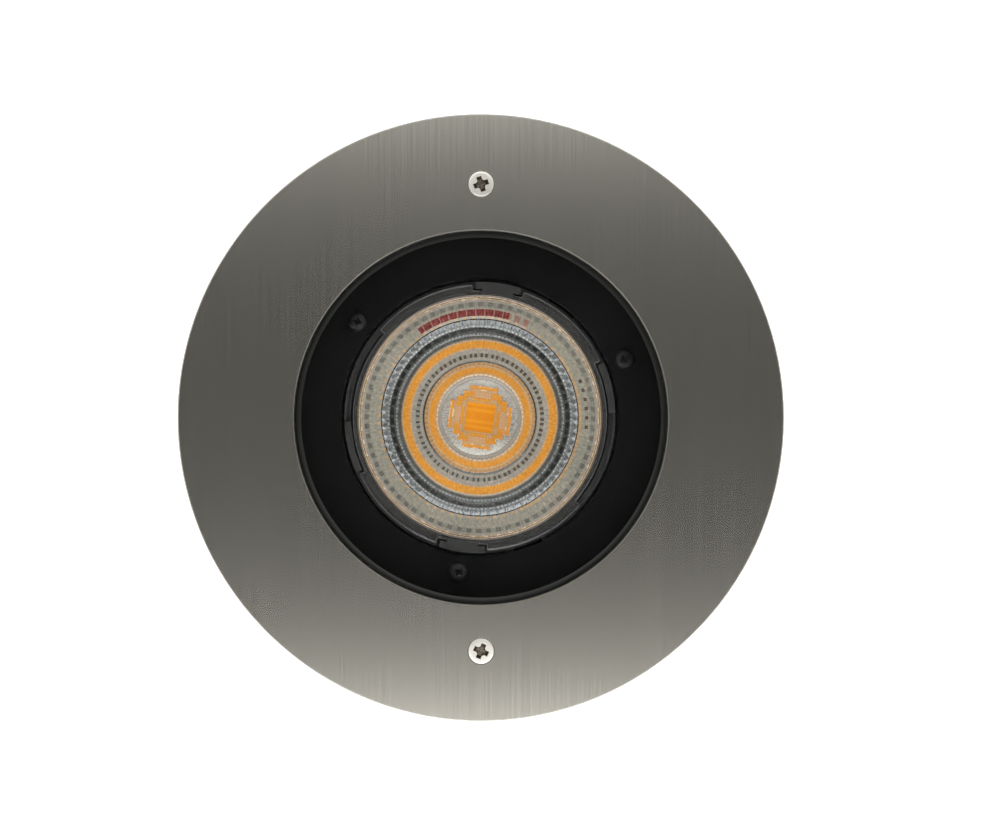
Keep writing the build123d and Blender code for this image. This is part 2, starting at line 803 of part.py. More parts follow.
driver_board_bottom = driver_wall + driver_board_lift
with BuildPart() as driver_board:
    with BuildSketch(driver_plane.offset(driver_board_bottom)):
        Rectangle(driver_length - 2 * (driver_wall + driver_board_gap),
                  driver_width - 2 * (driver_wall + driver_board_gap))
    extrude(amount=driver_board_thickness)
driver_board.part.label = "driver_board"
export_step(driver_board.part, "parts/driver_board.step")

driver_board_top = driver_board_bottom + driver_board_thickness
with BuildPart() as driver_transformer:
    with BuildSketch(driver_plane.offset(driver_board_top)):
        with Locations((transformer_x, 0)):
            Rectangle(transformer_size[0], transformer_size[1])
    extrude(amount=transformer_size[2])
driver_transformer.part.label = "driver_transformer"
export_step(driver_transformer.part, "parts/driver_transformer.step")

with BuildPart() as driver_capacitors:
    with BuildSketch(driver_plane.offset(driver_board_top)):
        with Locations((capacitor_x, 0)):
            with GridLocations(0, capacitor_spacing, 1, 2):
                Circle(capacitor_diameter / 2)
    extrude(amount=capacitor_height)
driver_capacitors.part.label = "driver_capacitors"
export_step(driver_capacitors.part, "parts/driver_capacitors.step")

driver_screw = m3_pan_screw(driver_screw_length)
with BuildPart(driver_plane.offset(driver_ear_thickness)) as driver_screws:
    with GridLocations(driver_ear_offset, 0, 2, 1):
        add(driver_screw)
driver_screws.part.label = "driver_screws"
export_step(driver_screws.part, "parts/driver_screws.step")

terminal_plane = Plane(origin=(terminal_center[0], terminal_center[1], housing_floor_top))
with BuildPart() as terminal_block:
    with BuildSketch(terminal_plane):
        Rectangle(terminal_size[0], terminal_size[1])
    extrude(amount=terminal_size[2])
    with BuildSketch(terminal_plane.offset(terminal_size[2])):
        with GridLocations(terminal_pitch, 0, terminal_ways, 1):
            Circle(terminal_way_diameter / 2)
    extrude(amount=-terminal_way_depth, mode=Mode.SUBTRACT)
terminal_block.part.label = "terminal_block"
export_step(terminal_block.part, "parts/terminal_block.step")

mains_lead_back = terminal_center[1] + terminal_size[1] / 2
mains_lead_run = driver_center_y - driver_width / 2 - mains_lead_back


def mains_lead(way):
    """Straight lead from one way of the terminal block to the driver's side."""
    origin = (terminal_center[0] + way * terminal_pitch, mains_lead_back,
              housing_floor_top + mains_lead_level)
    with BuildPart() as lead:
        with BuildSketch(Plane(origin=origin, z_dir=(0, 1, 0))):
            Circle(mains_lead_diameter / 2)
        extrude(amount=mains_lead_run)
    return lead.part


with BuildPart() as live_lead:
    add(mains_lead(-1))
live_lead.part.label = "live_lead"
export_step(live_lead.part, "parts/live_lead.step")

with BuildPart() as neutral_lead:
    add(mains_lead(1))
neutral_lead.part.label = "neutral_lead"
export_step(neutral_lead.part, "parts/neutral_lead.step")


# ---------------------------------------------------------------- housing
rebate_radius = glass_flange_radius + housing_rebate_gap
collar_radius = rebate_radius + housing_collar_wall
upper_outer = upper_radius + housing_upper_wall
lower_outer = lower_radius + housing_lower_wall
collar_bottom = housing_top - housing_collar_depth
collar_taper_bottom = collar_bottom - (collar_radius - upper_outer)
ledge_level = heat_sink_bottom
step_level = ledge_level - housing_upper_wall
gland_plane = Plane(origin=(gland_x, gland_y, housing_bottom))
earth_plane = Plane(origin=(earth_screw_x, earth_screw_y, housing_floor_top))
with BuildPart() as housing:
    with BuildSketch(Plane.XZ):
        with BuildLine():
            Polyline(
                (0, housing_bottom),
                (lower_outer, housing_bottom),
                (lower_outer, step_level),
                (upper_outer, ledge_level),
                (upper_outer, collar_taper_bottom),
                (collar_radius, collar_bottom),
                (collar_radius, housing_flange_bottom),
                (housing_flange_radius, housing_flange_bottom),
                (housing_flange_radius, housing_top),
                (rebate_radius, housing_top),
                (rebate_radius, housing_seat),
                (upper_radius, housing_seat),
                (upper_radius, ledge_level),
                (lower_radius, ledge_level),
                (lower_radius, housing_floor_top),
                (0, housing_floor_top),
                close=True,
            )
        make_face()
    revolve(axis=Axis.Z)
    fillet(housing.edges().group_by(Axis.Z)[0], housing_edge_round)
    with BuildSketch(Plane.XY.offset(housing_bottom + housing_rib_foot)):
        with PolarLocations(lower_outer, housing_rib_count, housing_rib_first):
            Rectangle(2 * (upper_outer + housing_rib_reach - lower_outer), housing_rib_thickness)
        Circle(lower_radius + housing_lower_wall / 2, mode=Mode.SUBTRACT)
    extrude(until=Until.NEXT)
    with BuildSketch(optic_level(housing_floor_top)):
        with PolarLocations(heat_sink_screw_radius, heat_sink_screw_count, heat_sink_screw_first):
            Circle(heat_sink_boss_diameter / 2)
    extrude(amount=ledge_level - housing_floor_top)
    with BuildSketch(earth_plane):
        Circle(earth_boss_diameter / 2)
    extrude(amount=earth_boss_height)
    with BuildSketch(optic_level(ledge_level)):
        with PolarLocations(heat_sink_screw_radius, heat_sink_screw_count, heat_sink_screw_first):
            Circle(m4_thread)
    extrude(amount=-heat_sink_screw_length, mode=Mode.SUBTRACT)
    with BuildSketch(earth_plane.offset(earth_boss_height)):
        Circle(m4_thread)
    extrude(amount=-earth_screw_length, mode=Mode.SUBTRACT)
    with BuildSketch(driver_plane):
        with GridLocations(driver_ear_offset, 0, 2, 1):
            Circle(m3_thread)
    extrude(amount=driver_ear_thickness - driver_screw_length - seat_clearance, mode=Mode.SUBTRACT)
    with BuildSketch(gland_plane):
        Circle(gland_thread_diameter / 2 + thread_clearance)
    extrude(amount=housing_floor_thickness, mode=Mode.SUBTRACT)
    with BuildSketch(Plane.XY.offset(housing_top)):
        with PolarLocations(clamp_screw_circle / 2, clamp_screw_count):
            Circle(m4_thread)
    extrude(amount=clamp_ring_thickness - clamp_screw_length - seat_clearance,
            mode=Mode.SUBTRACT)
    with BuildSketch(Plane.XY.offset(housing_top)):
        with PolarLocations(trim_screw_radius, trim_screw_count, trim_screw_first):
            Circle(m4_hole)
    extrude(amount=-housing_flange_thickness, mode=Mode.SUBTRACT)
housing.part.label = "housing"
export_step(housing.part, "parts/housing.step")

with BuildPart() as earth_washer:
    with BuildSketch(earth_plane.offset(earth_boss_height)):
        Circle(earth_washer_diameter / 2)
        Circle(m4_hole, mode=Mode.SUBTRACT)
    extrude(amount=earth_washer_thickness)
earth_washer.part.label = "earth_washer"
export_step(earth_washer.part, "parts/earth_washer.step")

with BuildPart(earth_plane.offset(earth_boss_height + earth_washer_thickness)) as earth_screw:
    add(m4_pan_screw(earth_screw_length))
earth_screw.part.label = "earth_screw"
export_step(earth_screw.part, "parts/earth_screw.step")


# ---------------------------------------------------------------- cable gland
gland_oring_bottom = -gland_oring_height
gland_hex_bottom = gland_oring_bottom - gland_hex_height
gland_body_end = gland_hex_bottom - gland_thread_below
gland_thread_radius = gland_thread_diameter / 2
gland_lower_radius = gland_thread_radius - gland_thread_step
gland_bore_radius = gland_lower_radius - gland_wall
with BuildPart() as gland_body:
    with BuildSketch(gland_plane.offset(gland_hex_bottom)):
        RegularPolygon(gland_hex / 2, hex_sides, major_radius=False)
    extrude(amount=gland_hex_height)
    with BuildSketch(gland_plane.offset(gland_oring_bottom)):
        Circle(gland_thread_radius)
    extrude(amount=gland_oring_height + gland_thread_above)
    with BuildSketch(gland_plane.offset(gland_hex_bottom)):
        Circle(gland_lower_radius)
    extrude(amount=-gland_thread_below)
    with BuildSketch(gland_plane.offset(gland_body_end)):
        Circle(gland_bore_radius)
    extrude(amount=gland_thread_above - gland_body_end, mode=Mode.SUBTRACT)
gland_body.part.label = "gland_body"
export_step(gland_body.part, "parts/gland_body.step")

with BuildPart() as gland_oring:
    with BuildSketch(gland_plane.offset(gland_oring_bottom)):
        Circle(gland_oring_diameter / 2)
        Circle(gland_thread_radius + thread_clearance, mode=Mode.SUBTRACT)
    extrude(amount=gland_oring_height)
gland_oring.part.label = "gland_oring"
export_step(gland_oring.part, "parts/gland_oring.step")

with BuildPart() as gland_locknut:
    with BuildSketch(gland_plane.offset(housing_floor_thickness)):
        RegularPolygon(gland_locknut_hex / 2, hex_sides, major_radius=False)
        Circle(gland_thread_radius + thread_clearance, mode=Mode.SUBTRACT)
    extrude(amount=gland_locknut_height)
gland_locknut.part.label = "gland_locknut"
export_step(gland_locknut.part, "parts/gland_locknut.step")

gland_collar_bottom = gland_body_end - gland_seal_collar_height
with BuildPart() as gland_seal:
    with BuildSketch(gland_plane.offset(gland_collar_bottom)):
        Circle(gland_seal_collar / 2)
    extrude(amount=gland_seal_collar_height)
    with BuildSketch(gland_plane.offset(gland_body_end)):
        Circle(gland_bore_radius - thread_clearance)
    extrude(amount=gland_seal_length)
    with BuildSketch(gland_plane.offset(gland_collar_bottom)):
        Circle(gland_cable_bore / 2)
    extrude(amount=gland_seal_length + gland_seal_collar_height, mode=Mode.SUBTRACT)
gland_seal.part.label = "gland_seal"
export_step(gland_seal.part, "parts/gland_seal.step")

gland_nut_top = gland_hex_bottom - gland_nut_gap
gland_nut_shoulder = gland_collar_bottom - seat_clearance
gland_nut_bottom = gland_nut_shoulder - gland_nut_wall
with BuildPart() as gland_nut:
    with BuildSketch(gland_plane.offset(gland_nut_bottom)):
        RegularPolygon(gland_nut_hex / 2, hex_sides, major_radius=False)
    extrude(amount=gland_nut_top - gland_nut_bottom)
    fillet(gland_nut.edges().group_by(Axis.Z)[0], gland_nut_round)
    with BuildSketch(gland_plane.offset(gland_nut_shoulder)):
        Circle(gland_lower_radius + turning_clearance)
    extrude(amount=gland_nut_top - gland_nut_shoulder, mode=Mode.SUBTRACT)
    with BuildSketch(gland_plane.offset(gland_nut_bottom)):
        Circle(gland_nut_mouth / 2)
    extrude(amount=gland_nut_top - gland_nut_bottom, mode=Mode.SUBTRACT)
gland_nut.part.label = "gland_nut"
export_step(gland_nut.part, "parts/gland_nut.step")


# ---------------------------------------------------------------- sleeve
sleeve_barrel_bore = collar_radius + sleeve_barrel_gap
sleeve_barrel_radius = sleeve_barrel_bore + sleeve_wall
shoulder_bottom = housing_flange_bottom - sleeve_shoulder
lug_inner = collar_radius + sleeve_lug_gap
lug_length = sleeve_barrel_radius - lug_inner
lug_center = (sleeve_barrel_radius + lug_inner) / 2
conduit_reach = sleeve_foot_diameter / 2 - conduit_setback
conduit_run = conduit_reach - lug_inner
conduit_sides = ((supply_conduit_bore, conduit_reach, -conduit_run),
                 (onward_conduit_bore, -conduit_reach, conduit_run))
with BuildPart() as mounting_sleeve:
    with BuildSketch(Plane.XZ.rotated((0, 0, sleeve_parting_line))):
        with BuildLine():
            Polyline(
                (sleeve_foot_opening / 2, 0),
                (sleeve_foot_diameter / 2, 0),
                (sleeve_foot_diameter / 2, sleeve_foot_thickness),
                (sleeve_barrel_radius, sleeve_foot_thickness),
                (sleeve_barrel_radius, shoulder_bottom),
                (sleeve_collar_radius, shoulder_bottom),
                (sleeve_collar_radius, sleeve_top),
                (sleeve_collar_bore, sleeve_top),
                (sleeve_collar_bore, housing_flange_bottom),
                (sleeve_barrel_bore, housing_flange_bottom),
                (sleeve_barrel_bore, sleeve_foot_thickness),
                (sleeve_foot_opening / 2, sleeve_foot_thickness),
                close=True,
            )
        make_face()
    revolve(axis=Axis.Z)
    with BuildSketch(Plane.XY.offset(sleeve_foot_thickness)):
        with PolarLocations(sleeve_barrel_radius + sleeve_rib_reach / 2 - sleeve_wall / 2,
                            sleeve_rib_count, sleeve_rib_first):
            Rectangle(sleeve_rib_reach + sleeve_wall, sleeve_rib_thickness)
        Circle(sleeve_barrel_radius - sleeve_wall / 2, mode=Mode.SUBTRACT)
    extrude(amount=shoulder_bottom - sleeve_foot_thickness)
    with BuildSketch(Plane.XY.offset(housing_flange_bottom)):
        with PolarLocations(lug_center, trim_screw_count, trim_screw_first):
            Rectangle(lug_length, sleeve_lug_width)
        Circle(sleeve_barrel_radius - sleeve_wall / 2, mode=Mode.INTERSECT)
    extrude(amount=-sleeve_lug_height)
    for bore, start, run in conduit_sides:
        with BuildSketch(Plane.YZ.offset(start)):
            with Locations((0, conduit_level)):
                Circle(bore / 2 + conduit_wall)
        extrude(amount=run)
    with BuildSketch(Plane.XY.offset(sleeve_foot_thickness)):
        Circle(sleeve_barrel_bore)
    extrude(amount=housing_flange_bottom - sleeve_lug_height - sleeve_foot_thickness,
            mode=Mode.SUBTRACT)
    for bore, start, run in conduit_sides:
        with BuildSketch(Plane.YZ.offset(start)):
            with Locations((0, conduit_level)):
                Circle(bore / 2)
        extrude(amount=run, mode=Mode.SUBTRACT)
    with BuildSketch(Plane.XY.offset(housing_flange_bottom)):
        with PolarLocations(trim_screw_radius, trim_screw_count, trim_screw_first):
            Circle(insert_diameter / 2 + thread_clearance)
    extrude(amount=-sleeve_lug_height, mode=Mode.SUBTRACT)
mounting_sleeve.part.label = "mounting_sleeve"
export_step(mounting_sleeve.part, "parts/mounting_sleeve.step")

with BuildPart() as sleeve_inserts:
    with BuildSketch(Plane.XY.offset(housing_flange_bottom - seat_clearance)):
        with PolarLocations(trim_screw_radius, trim_screw_count, trim_screw_first):
            Circle(insert_diameter / 2)
            Circle(m4_thread, mode=Mode.SUBTRACT)
    extrude(amount=-insert_length)
sleeve_inserts.part.label = "sleeve_inserts"
export_step(sleeve_inserts.part, "parts/sleeve_inserts.step")
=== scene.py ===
"""Looks of the in-ground well light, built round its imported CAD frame.

Metres, +Z up, +Y through a trim screw; the lens and its ring stand turned by
eight degrees against the trim screws. Angles run anticlockwise from +X.
"""
import json
import logging
import math
from dataclasses import dataclass, field
from enum import Enum
from typing import ClassVar, Iterable, Sequence

import bmesh
import bpy
from mathutils import Matrix, Vector


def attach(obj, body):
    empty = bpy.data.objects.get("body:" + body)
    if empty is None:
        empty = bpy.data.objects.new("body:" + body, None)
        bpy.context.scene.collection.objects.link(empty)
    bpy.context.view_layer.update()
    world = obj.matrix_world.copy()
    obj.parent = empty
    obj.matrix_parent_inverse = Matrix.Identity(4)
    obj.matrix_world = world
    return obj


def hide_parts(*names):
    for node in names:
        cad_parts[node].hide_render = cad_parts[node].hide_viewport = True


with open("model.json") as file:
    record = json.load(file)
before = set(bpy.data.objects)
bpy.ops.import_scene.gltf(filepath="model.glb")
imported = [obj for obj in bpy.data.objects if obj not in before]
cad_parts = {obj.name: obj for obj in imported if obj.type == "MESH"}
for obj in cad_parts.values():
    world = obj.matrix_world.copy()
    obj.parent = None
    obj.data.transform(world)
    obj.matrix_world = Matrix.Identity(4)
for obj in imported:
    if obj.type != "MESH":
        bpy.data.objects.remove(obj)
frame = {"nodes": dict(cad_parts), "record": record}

MM = 0.001
OPTIC_TURN = math.radians(-8.0)
FULL_TURN = 2.0 * math.pi
CAD_WELD = 2e-6  # metres within which corners of a CAD mesh are one
SEAM_WELD = 1e-7  # the same for a mesh made here
FLAT_ANGLE = math.radians(0.6)  # neighbours that turn less than this are one flat face
FLAT_FROM = 0.95  # height of the normal from which a face is a flat top
NOISE_RANGE = {1: 0.3, 2: 0.7}  # sockets From Min and From Max: where nearly all of a noise lies
OPAQUE_IOR = 1.5
log = logging.getLogger("well_light")
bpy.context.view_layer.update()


# ---------------------------------------------------------------- finishes
def linear(colour: str, alpha: float = 1.0) -> tuple[float, float, float, float]:
    """Turns an sRGB hex colour to Blender's linear values.

    Args:
        colour: six hex digits after a hash sign.
        alpha: the fourth value.

    Returns:
        Red, green, blue and alpha.
    """
    parts = []
    for start in (1, 3, 5):
        value = int(colour[start:start + 2], 16) / 255.0
        parts.append(value / 12.92 if value <= 0.04045 else ((value + 0.055) / 1.055) ** 2.4)
    return parts[0], parts[1], parts[2], alpha


def add_node(tree: bpy.types.NodeTree, kind: str, settings: dict | None = None,
             links: dict | None = None) -> bpy.types.Node:
    """Adds a node with its settings and its links.

    Args:
        tree: the node tree that takes it.
        kind: Blender's name for the node's type.
        settings: values by property name, socket name or socket number.
        links: source sockets by input name or number.

    Returns:
        The new node.
    """
    node = tree.nodes.new(kind)
    for key, value in (settings or {}).items():
        if isinstance(key, str) and hasattr(node, key):
            setattr(node, key, value)
        else:
            node.inputs[key].default_value = value
    for key, source in (links or {}).items():
        tree.links.new(source, node.inputs[key])
    return node


def empty_material(name: str) -> bpy.types.Material:
    """Makes a material whose node tree is empty.

    Args:
        name: the material's name.

    Returns:
        The material.
    """
    made = bpy.data.materials.new(name)
    made.use_nodes = True
    made.node_tree.nodes.clear()
    return made


def seen_directly(tree: bpy.types.NodeTree) -> bpy.types.NodeSocket:
    """Tells the rays that look at a thing from those that only light it.

    Args:
        tree: the node tree that takes the nodes.

    Returns:
        A socket: one for rays from the camera, from gloss and through glass, nought for the others.
    """
    path = add_node(tree, "ShaderNodeLightPath")
    seen = path.outputs["Is Camera Ray"]
    for kind in ("Is Glossy Ray", "Is Transmission Ray"):
        seen = add_node(tree, "ShaderNodeMath", {"operation": "MAXIMUM"},
                        {0: seen, 1: path.outputs[kind]}).outputs[0]
    return seen


def link_object(name: str, data: bpy.types.ID) -> bpy.types.Object:
    """Makes an object and links it to the scene.

    Args:
        name: the object's name.
        data: its mesh, lamp or camera.

    Returns:
        The object.
    """
    made = bpy.data.objects.new(name, data)
    bpy.context.scene.collection.objects.link(made)
    return made


class Surface:
    """A finish whose material is made once, when it is first asked for."""

    name: str

    def shade(self, tree: bpy.types.NodeTree) -> bpy.types.NodeSocket:
        """Makes the finish's nodes.

        Args:
            tree: the material's node tree.

        Returns:
            The socket that gives the surface.
        """
        raise NotImplementedError

    def material(self) -> bpy.types.Material:
        """Makes the material once and gives it again after that.

        Returns:
            The finish as a Blender material.
        """
        made = bpy.data.materials.get(self.name)
        if made is None:
            made = empty_material(self.name)
            tree = made.node_tree
            add_node(tree, "ShaderNodeOutputMaterial", links={"Surface": self.shade(tree)})
        return made


class Pattern(Enum):
    """How a surface was made, which sets the lie of its fine pattern."""

    MOULDED = "even grain of a moulding tool"
    CAST = "orange peel of powder over a casting"
    BRUSHED = "straight lines along Y"
    EXTRUDED = "straight lines along X"
    TURNED = "rings about the centre line"
    FACETED = "facets round the centre line"


@dataclass(frozen=True)
class Finish(Surface):
    """An opaque surface: colours, gloss and the fine pattern its making left.

    The two colours are the darkest and the lightest that the pattern reaches.
    """

    name: str
    dark: str
    light: str
    roughness: float
    metallic: float = 0.0
    pattern: Pattern = Pattern.MOULDED
    grain_mm: float = 0.4
    stretch: float = 40.0
    relief_mm: float = 0.01
    roughness_spread: float = 0.08
    anisotropy: float = 0.0
    coat: float = 0.0
    specular: float = 0.5
    facets: int = 288
    broad: float = 0.35
    facet_reach: ClassVar[float] = 3.0
    broad_scale: ClassVar[float] = 45.0
    bump_strength: ClassVar[float] = 0.6
    coat_roughness: ClassVar[float] = 0.05

    def place(self, tree: bpy.types.NodeTree) -> bpy.types.NodeSocket:
        """Coordinates of the fine pattern, one unit to a grain.

        Args:
            tree: the material's node tree.

        Returns:
            The socket that gives the coordinates.
        """
        where = add_node(tree, "ShaderNodeTexCoord").outputs["Object"]
        across = 1.0 / (self.grain_mm * MM)
        scale = {
            Pattern.BRUSHED: (across, across / self.stretch, across),
            Pattern.EXTRUDED: (across / self.stretch, across, across),
            Pattern.FACETED: (across / self.facet_reach, across, across),
        }.get(self.pattern, (across, across, across))
        if self.pattern in (Pattern.TURNED, Pattern.FACETED):
            flat = add_node(tree, "ShaderNodeVectorMath", {"operation": "MULTIPLY", 1: (1.0, 1.0, 0.0)},
                            {0: where})
            radius = add_node(tree, "ShaderNodeVectorMath", {"operation": "LENGTH"}, {0: flat.outputs[0]})
            height = add_node(tree, "ShaderNodeSeparateXYZ", links={0: where})
            around = add_node(tree, "ShaderNodeTexGradient", {"gradient_type": "RADIAL"}, {"Vector": where})
            steps = self.facets * self.grain_mm * MM if self.pattern is Pattern.FACETED else 0.0
            angle = add_node(tree, "ShaderNodeMath", {"operation": "MULTIPLY", 1: steps},
                             {0: around.outputs["Fac"]})
            where = add_node(tree, "ShaderNodeCombineXYZ", links={
                "X": radius.outputs["Value"], "Y": angle.outputs[0], "Z": height.outputs["Z"]}).outputs[0]
        return add_node(tree, "ShaderNodeMapping", {"Scale": scale}, {"Vector": where}).outputs[0]

    def shade(self, tree: bpy.types.NodeTree) -> bpy.types.NodeSocket:
        """Makes an opaque shader whose colour and roughness follow the pattern.

        Args:
            tree: the material's node tree.

        Returns:
            The socket that gives the surface.
        """
        place = self.place(tree)
        fine = add_node(tree, "ShaderNodeTexNoise", {"Scale": 1.0, "Detail": 2.0}, {"Vector": place})
        broad = add_node(tree, "ShaderNodeTexNoise", {"Scale": self.broad_scale, "Detail": 3.0},
                         {"Vector": add_node(tree, "ShaderNodeTexCoord").outputs["Object"]})
        both = add_node(tree, "ShaderNodeMix", {0: self.broad},
                        {2: fine.outputs["Fac"], 3: broad.outputs["Fac"]})
        spread = add_node(tree, "ShaderNodeMapRange", NOISE_RANGE, {0: both.outputs[0]})
        colour = add_node(tree, "ShaderNodeMix",
                          {"data_type": "RGBA", 6: linear(self.dark), 7: linear(self.light)},
                          {0: spread.outputs[0]})
        rough = add_node(tree, "ShaderNodeMapRange",
                         {**NOISE_RANGE, 3: max(self.roughness - self.roughness_spread, 0.02),
                          4: min(self.roughness + self.roughness_spread, 1.0)},
                         {0: both.outputs[0]})
        bump = add_node(tree, "ShaderNodeBump",
                        {"Distance": self.relief_mm * MM, "Strength": self.bump_strength},
                        {"Height": fine.outputs["Fac"]})
        links = {"Base Color": colour.outputs[2], "Roughness": rough.outputs[0],
                 "Normal": bump.outputs[0]}
        if self.anisotropy:
            links["Tangent"] = add_node(tree, "ShaderNodeCombineXYZ", {"Y": 1.0}).outputs[0]
        settings = {"Metallic": self.metallic, "Anisotropic": self.anisotropy,
                    "Coat Weight": self.coat, "Coat Roughness": self.coat_roughness,
                    "Specular IOR Level": self.specular}
        if not self.metallic:
            settings["IOR"] = OPAQUE_IOR
        return add_node(tree, "ShaderNodeBsdfPrincipled", settings, links).outputs[0]


@dataclass(frozen=True)
class ClearFinish(Surface):
    """A clear body that lets lamp light through to what lies under it."""

    name: str
    colour: str
    ior: float
    roughness: float
    clearness: float
    ripple_scale: ClassVar[float] = 60.0
    ripple_mm: ClassVar[float] = 0.02
    ripple_strength: ClassVar[float] = 0.2

    def shade(self, tree: bpy.types.NodeTree) -> bpy.types.NodeSocket:
        """Makes a clear shader that casts a tinted shadow in place of a black one.

        Args:
            tree: the material's node tree.

        Returns:
            The socket that gives the surface.
        """
        where = add_node(tree, "ShaderNodeTexCoord").outputs["Object"]
        ripple = add_node(tree, "ShaderNodeTexNoise", {"Scale": self.ripple_scale, "Detail": 1.0},
                          {"Vector": where})
        bump = add_node(tree, "ShaderNodeBump",
                        {"Distance": self.ripple_mm * MM, "Strength": self.ripple_strength},
                        {"Height": ripple.outputs["Fac"]})
        shader = add_node(tree, "ShaderNodeBsdfPrincipled",
                          {"Base Color": linear(self.colour), "Roughness": self.roughness,
                           "IOR": self.ior, "Transmission Weight": self.clearness},
                          {"Normal": bump.outputs[0]})
        through = add_node(tree, "ShaderNodeBsdfTransparent", {"Color": linear(self.colour)})
        path = add_node(tree, "ShaderNodeLightPath")
        mixed = add_node(tree, "ShaderNodeMixShader",
                         links={0: path.outputs["Is Shadow Ray"], 1: shader.outputs[0],
                                2: through.outputs[0]})
        return mixed.outputs[0]


# 316 stainless plate, ground on a belt: straight scratches along Y stretch its reflections across X
PLATE_STEEL = Finish("ground_316_stainless", "#BBB8AE", "#C9C5BA", 0.218, 1.0, Pattern.BRUSHED,
                     grain_mm=0.45, stretch=150.0, relief_mm=0.0, roughness_spread=0.0, broad=0.0,
                     anisotropy=0.75)
# the same plate's broken edges and countersinks: scraped, so duller than its face
EDGE_STEEL = Finish("scraped_316_edge", "#73716A", "#858379", 0.5, 1.0, Pattern.TURNED, grain_mm=0.25,
                    relief_mm=0.002)
# its outer edge, broken with a finer cut: nearly as bright as the face
RIM_STEEL = Finish("fine_cut_316_rim", "#9C9A92", "#AEACA4", 0.45, 1.0, Pattern.TURNED, grain_mm=0.25,
                   relief_mm=0.002)
# A4 stainless screws, cold headed and tumbled: bright, with a soft sheen
SCREW_STEEL = Finish("tumbled_a4_stainless", "#C8C6BD", "#DEDCD3", 0.5, 1.0, Pattern.TURNED,
                     grain_mm=0.25, relief_mm=0.002)
# punched cross recess: dull, painted dark brown as the shade inside it
RECESS_SHADE_STEEL = Finish("recess_steel_painted_shade", "#1E180F", "#4C4032", 0.6, 0.3, grain_mm=0.2,
                      relief_mm=0.02)
# floor of the recess: painted shade, lighter than on its walls
RECESS_FLOOR_SHADE_STEEL = Finish("recess_floor_painted_shade", "#4C4334", "#A09480", 0.5, 0.3, grain_mm=0.5,
                      relief_mm=0.02)
# machined 6082 aluminium: fine turning rings
TURNED_ALUMINIUM = Finish("turned_6082_aluminium", "#B4B5B7", "#C6C7C9", 0.34, 1.0, Pattern.TURNED,
                          grain_mm=0.2, relief_mm=0.003)
# extruded and clear anodised aluminium: die lines along the fins
SINK_ALUMINIUM = Finish("anodised_6063_extrusion", "#A9ABAE", "#BCBEC1", 0.42, 1.0, Pattern.EXTRUDED,
                        grain_mm=0.3, relief_mm=0.003)
# die cast aluminium under black polyester powder: orange peel, low gloss
POWDER_COAT = Finish("black_powder_coat", "#131315", "#1B1B1D", 0.45, specular=0.4, pattern=Pattern.CAST,
                     grain_mm=0.9, relief_mm=0.06)
# moulded black polycarbonate: satin, fine tool grain
SATIN_BLACK = Finish("satin_black_polycarbonate", "#030403", "#060706", 0.45, grain_mm=0.3,
                     relief_mm=0.006, specular=0.08)
# moulded black nylon of the holder: a shade lighter than the ring over it
HOLDER_BLACK = Finish("black_nylon_holder", "#202120", "#2A2B2A", 0.5, grain_mm=0.3,
                      relief_mm=0.006, specular=0.25)
# black zinc on steel: thin, slightly glossy
BLACK_ZINC = Finish("black_zinc_steel", "#0C0C0C", "#171716", 0.4, 0.3, Pattern.TURNED, grain_mm=0.25,
                    relief_mm=0.004, specular=0.3)
# nickel plated steel standoffs
NICKEL = Finish("nickel_plated_steel", "#B5B0A6", "#C9C5BC", 0.25, 1.0, Pattern.TURNED, grain_mm=0.3,
                relief_mm=0.002)
# moulded silicone rubber: matt, a trace of talc
SILICONE = Finish("black_silicone", "#0E0E0E", "#1A1A1A", 0.75, grain_mm=0.5, relief_mm=0.02)
# gap pad, silicone filled with alumina: grey and matt
PAD_GREY = Finish("silicone_thermal_pad", "#5B5C5E", "#6A6B6D", 0.85, grain_mm=0.4, relief_mm=0.03)
# alumina board, fired and ground
CERAMIC = Finish("white_alumina", "#DEDCD2", "#EAE8E0", 0.35, grain_mm=0.3, relief_mm=0.004)
# yellow phosphor powder set in silicone
PHOSPHOR_GEL = Finish("phosphor_silicone", "#D98514", "#EDA032", 0.5, grain_mm=0.15, relief_mm=0.02)
# glass filled PBT: off white, silky
CLAMP_PBT = Finish("off_white_pbt", "#D2CCBE", "#E0DACD", 0.5, grain_mm=0.3, relief_mm=0.008)
# silicone and PVC insulated leads
RED_LEAD = Finish("red_silicone_lead", "#8C1A18", "#A82622", 0.45, grain_mm=0.6, relief_mm=0.01)
BLACK_LEAD = Finish("black_silicone_lead", "#141414", "#1E1E1E", 0.45, grain_mm=0.6, relief_mm=0.01)
BROWN_LEAD = Finish("brown_pvc_lead", "#553018", "#6A3D20", 0.35, grain_mm=0.8, relief_mm=0.006)
BLUE_LEAD = Finish("blue_pvc_lead", "#1F5C9E", "#2A6CB2", 0.35, grain_mm=0.8, relief_mm=0.006)
# moulded white polycarbonate driver case
DRIVER_WHITE = Finish("white_polycarbonate", "#D4D4D0", "#E2E2DE", 0.5, grain_mm=0.5, relief_mm=0.02)
# glass epoxy board under green solder mask
SOLDER_MASK = Finish("green_solder_mask", "#0E4A2A", "#17603A", 0.3, grain_mm=0.7, relief_mm=0.006)
# ferrite core wound in yellow polyester tape
YELLOW_TAPE = Finish("yellow_polyester_tape", "#D2AC22", "#E2BF38", 0.3, grain_mm=0.8, relief_mm=0.01)
# dark blue shrink sleeve over a can
SHRINK_BLUE = Finish("blue_shrink_sleeve", "#16233F", "#20305A", 0.28, grain_mm=0.9, relief_mm=0.006)
# polyamide terminal block
TERMINAL_GREY = Finish("grey_polyamide", "#C0C0B8", "#D0D0C8", 0.5, grain_mm=0.4, relief_mm=0.01)
# moulded black polyamide gland
GLAND_BLACK = Finish("black_polyamide", "#101011", "#19191A", 0.42, grain_mm=0.45,
                     relief_mm=0.012, specular=0.4)
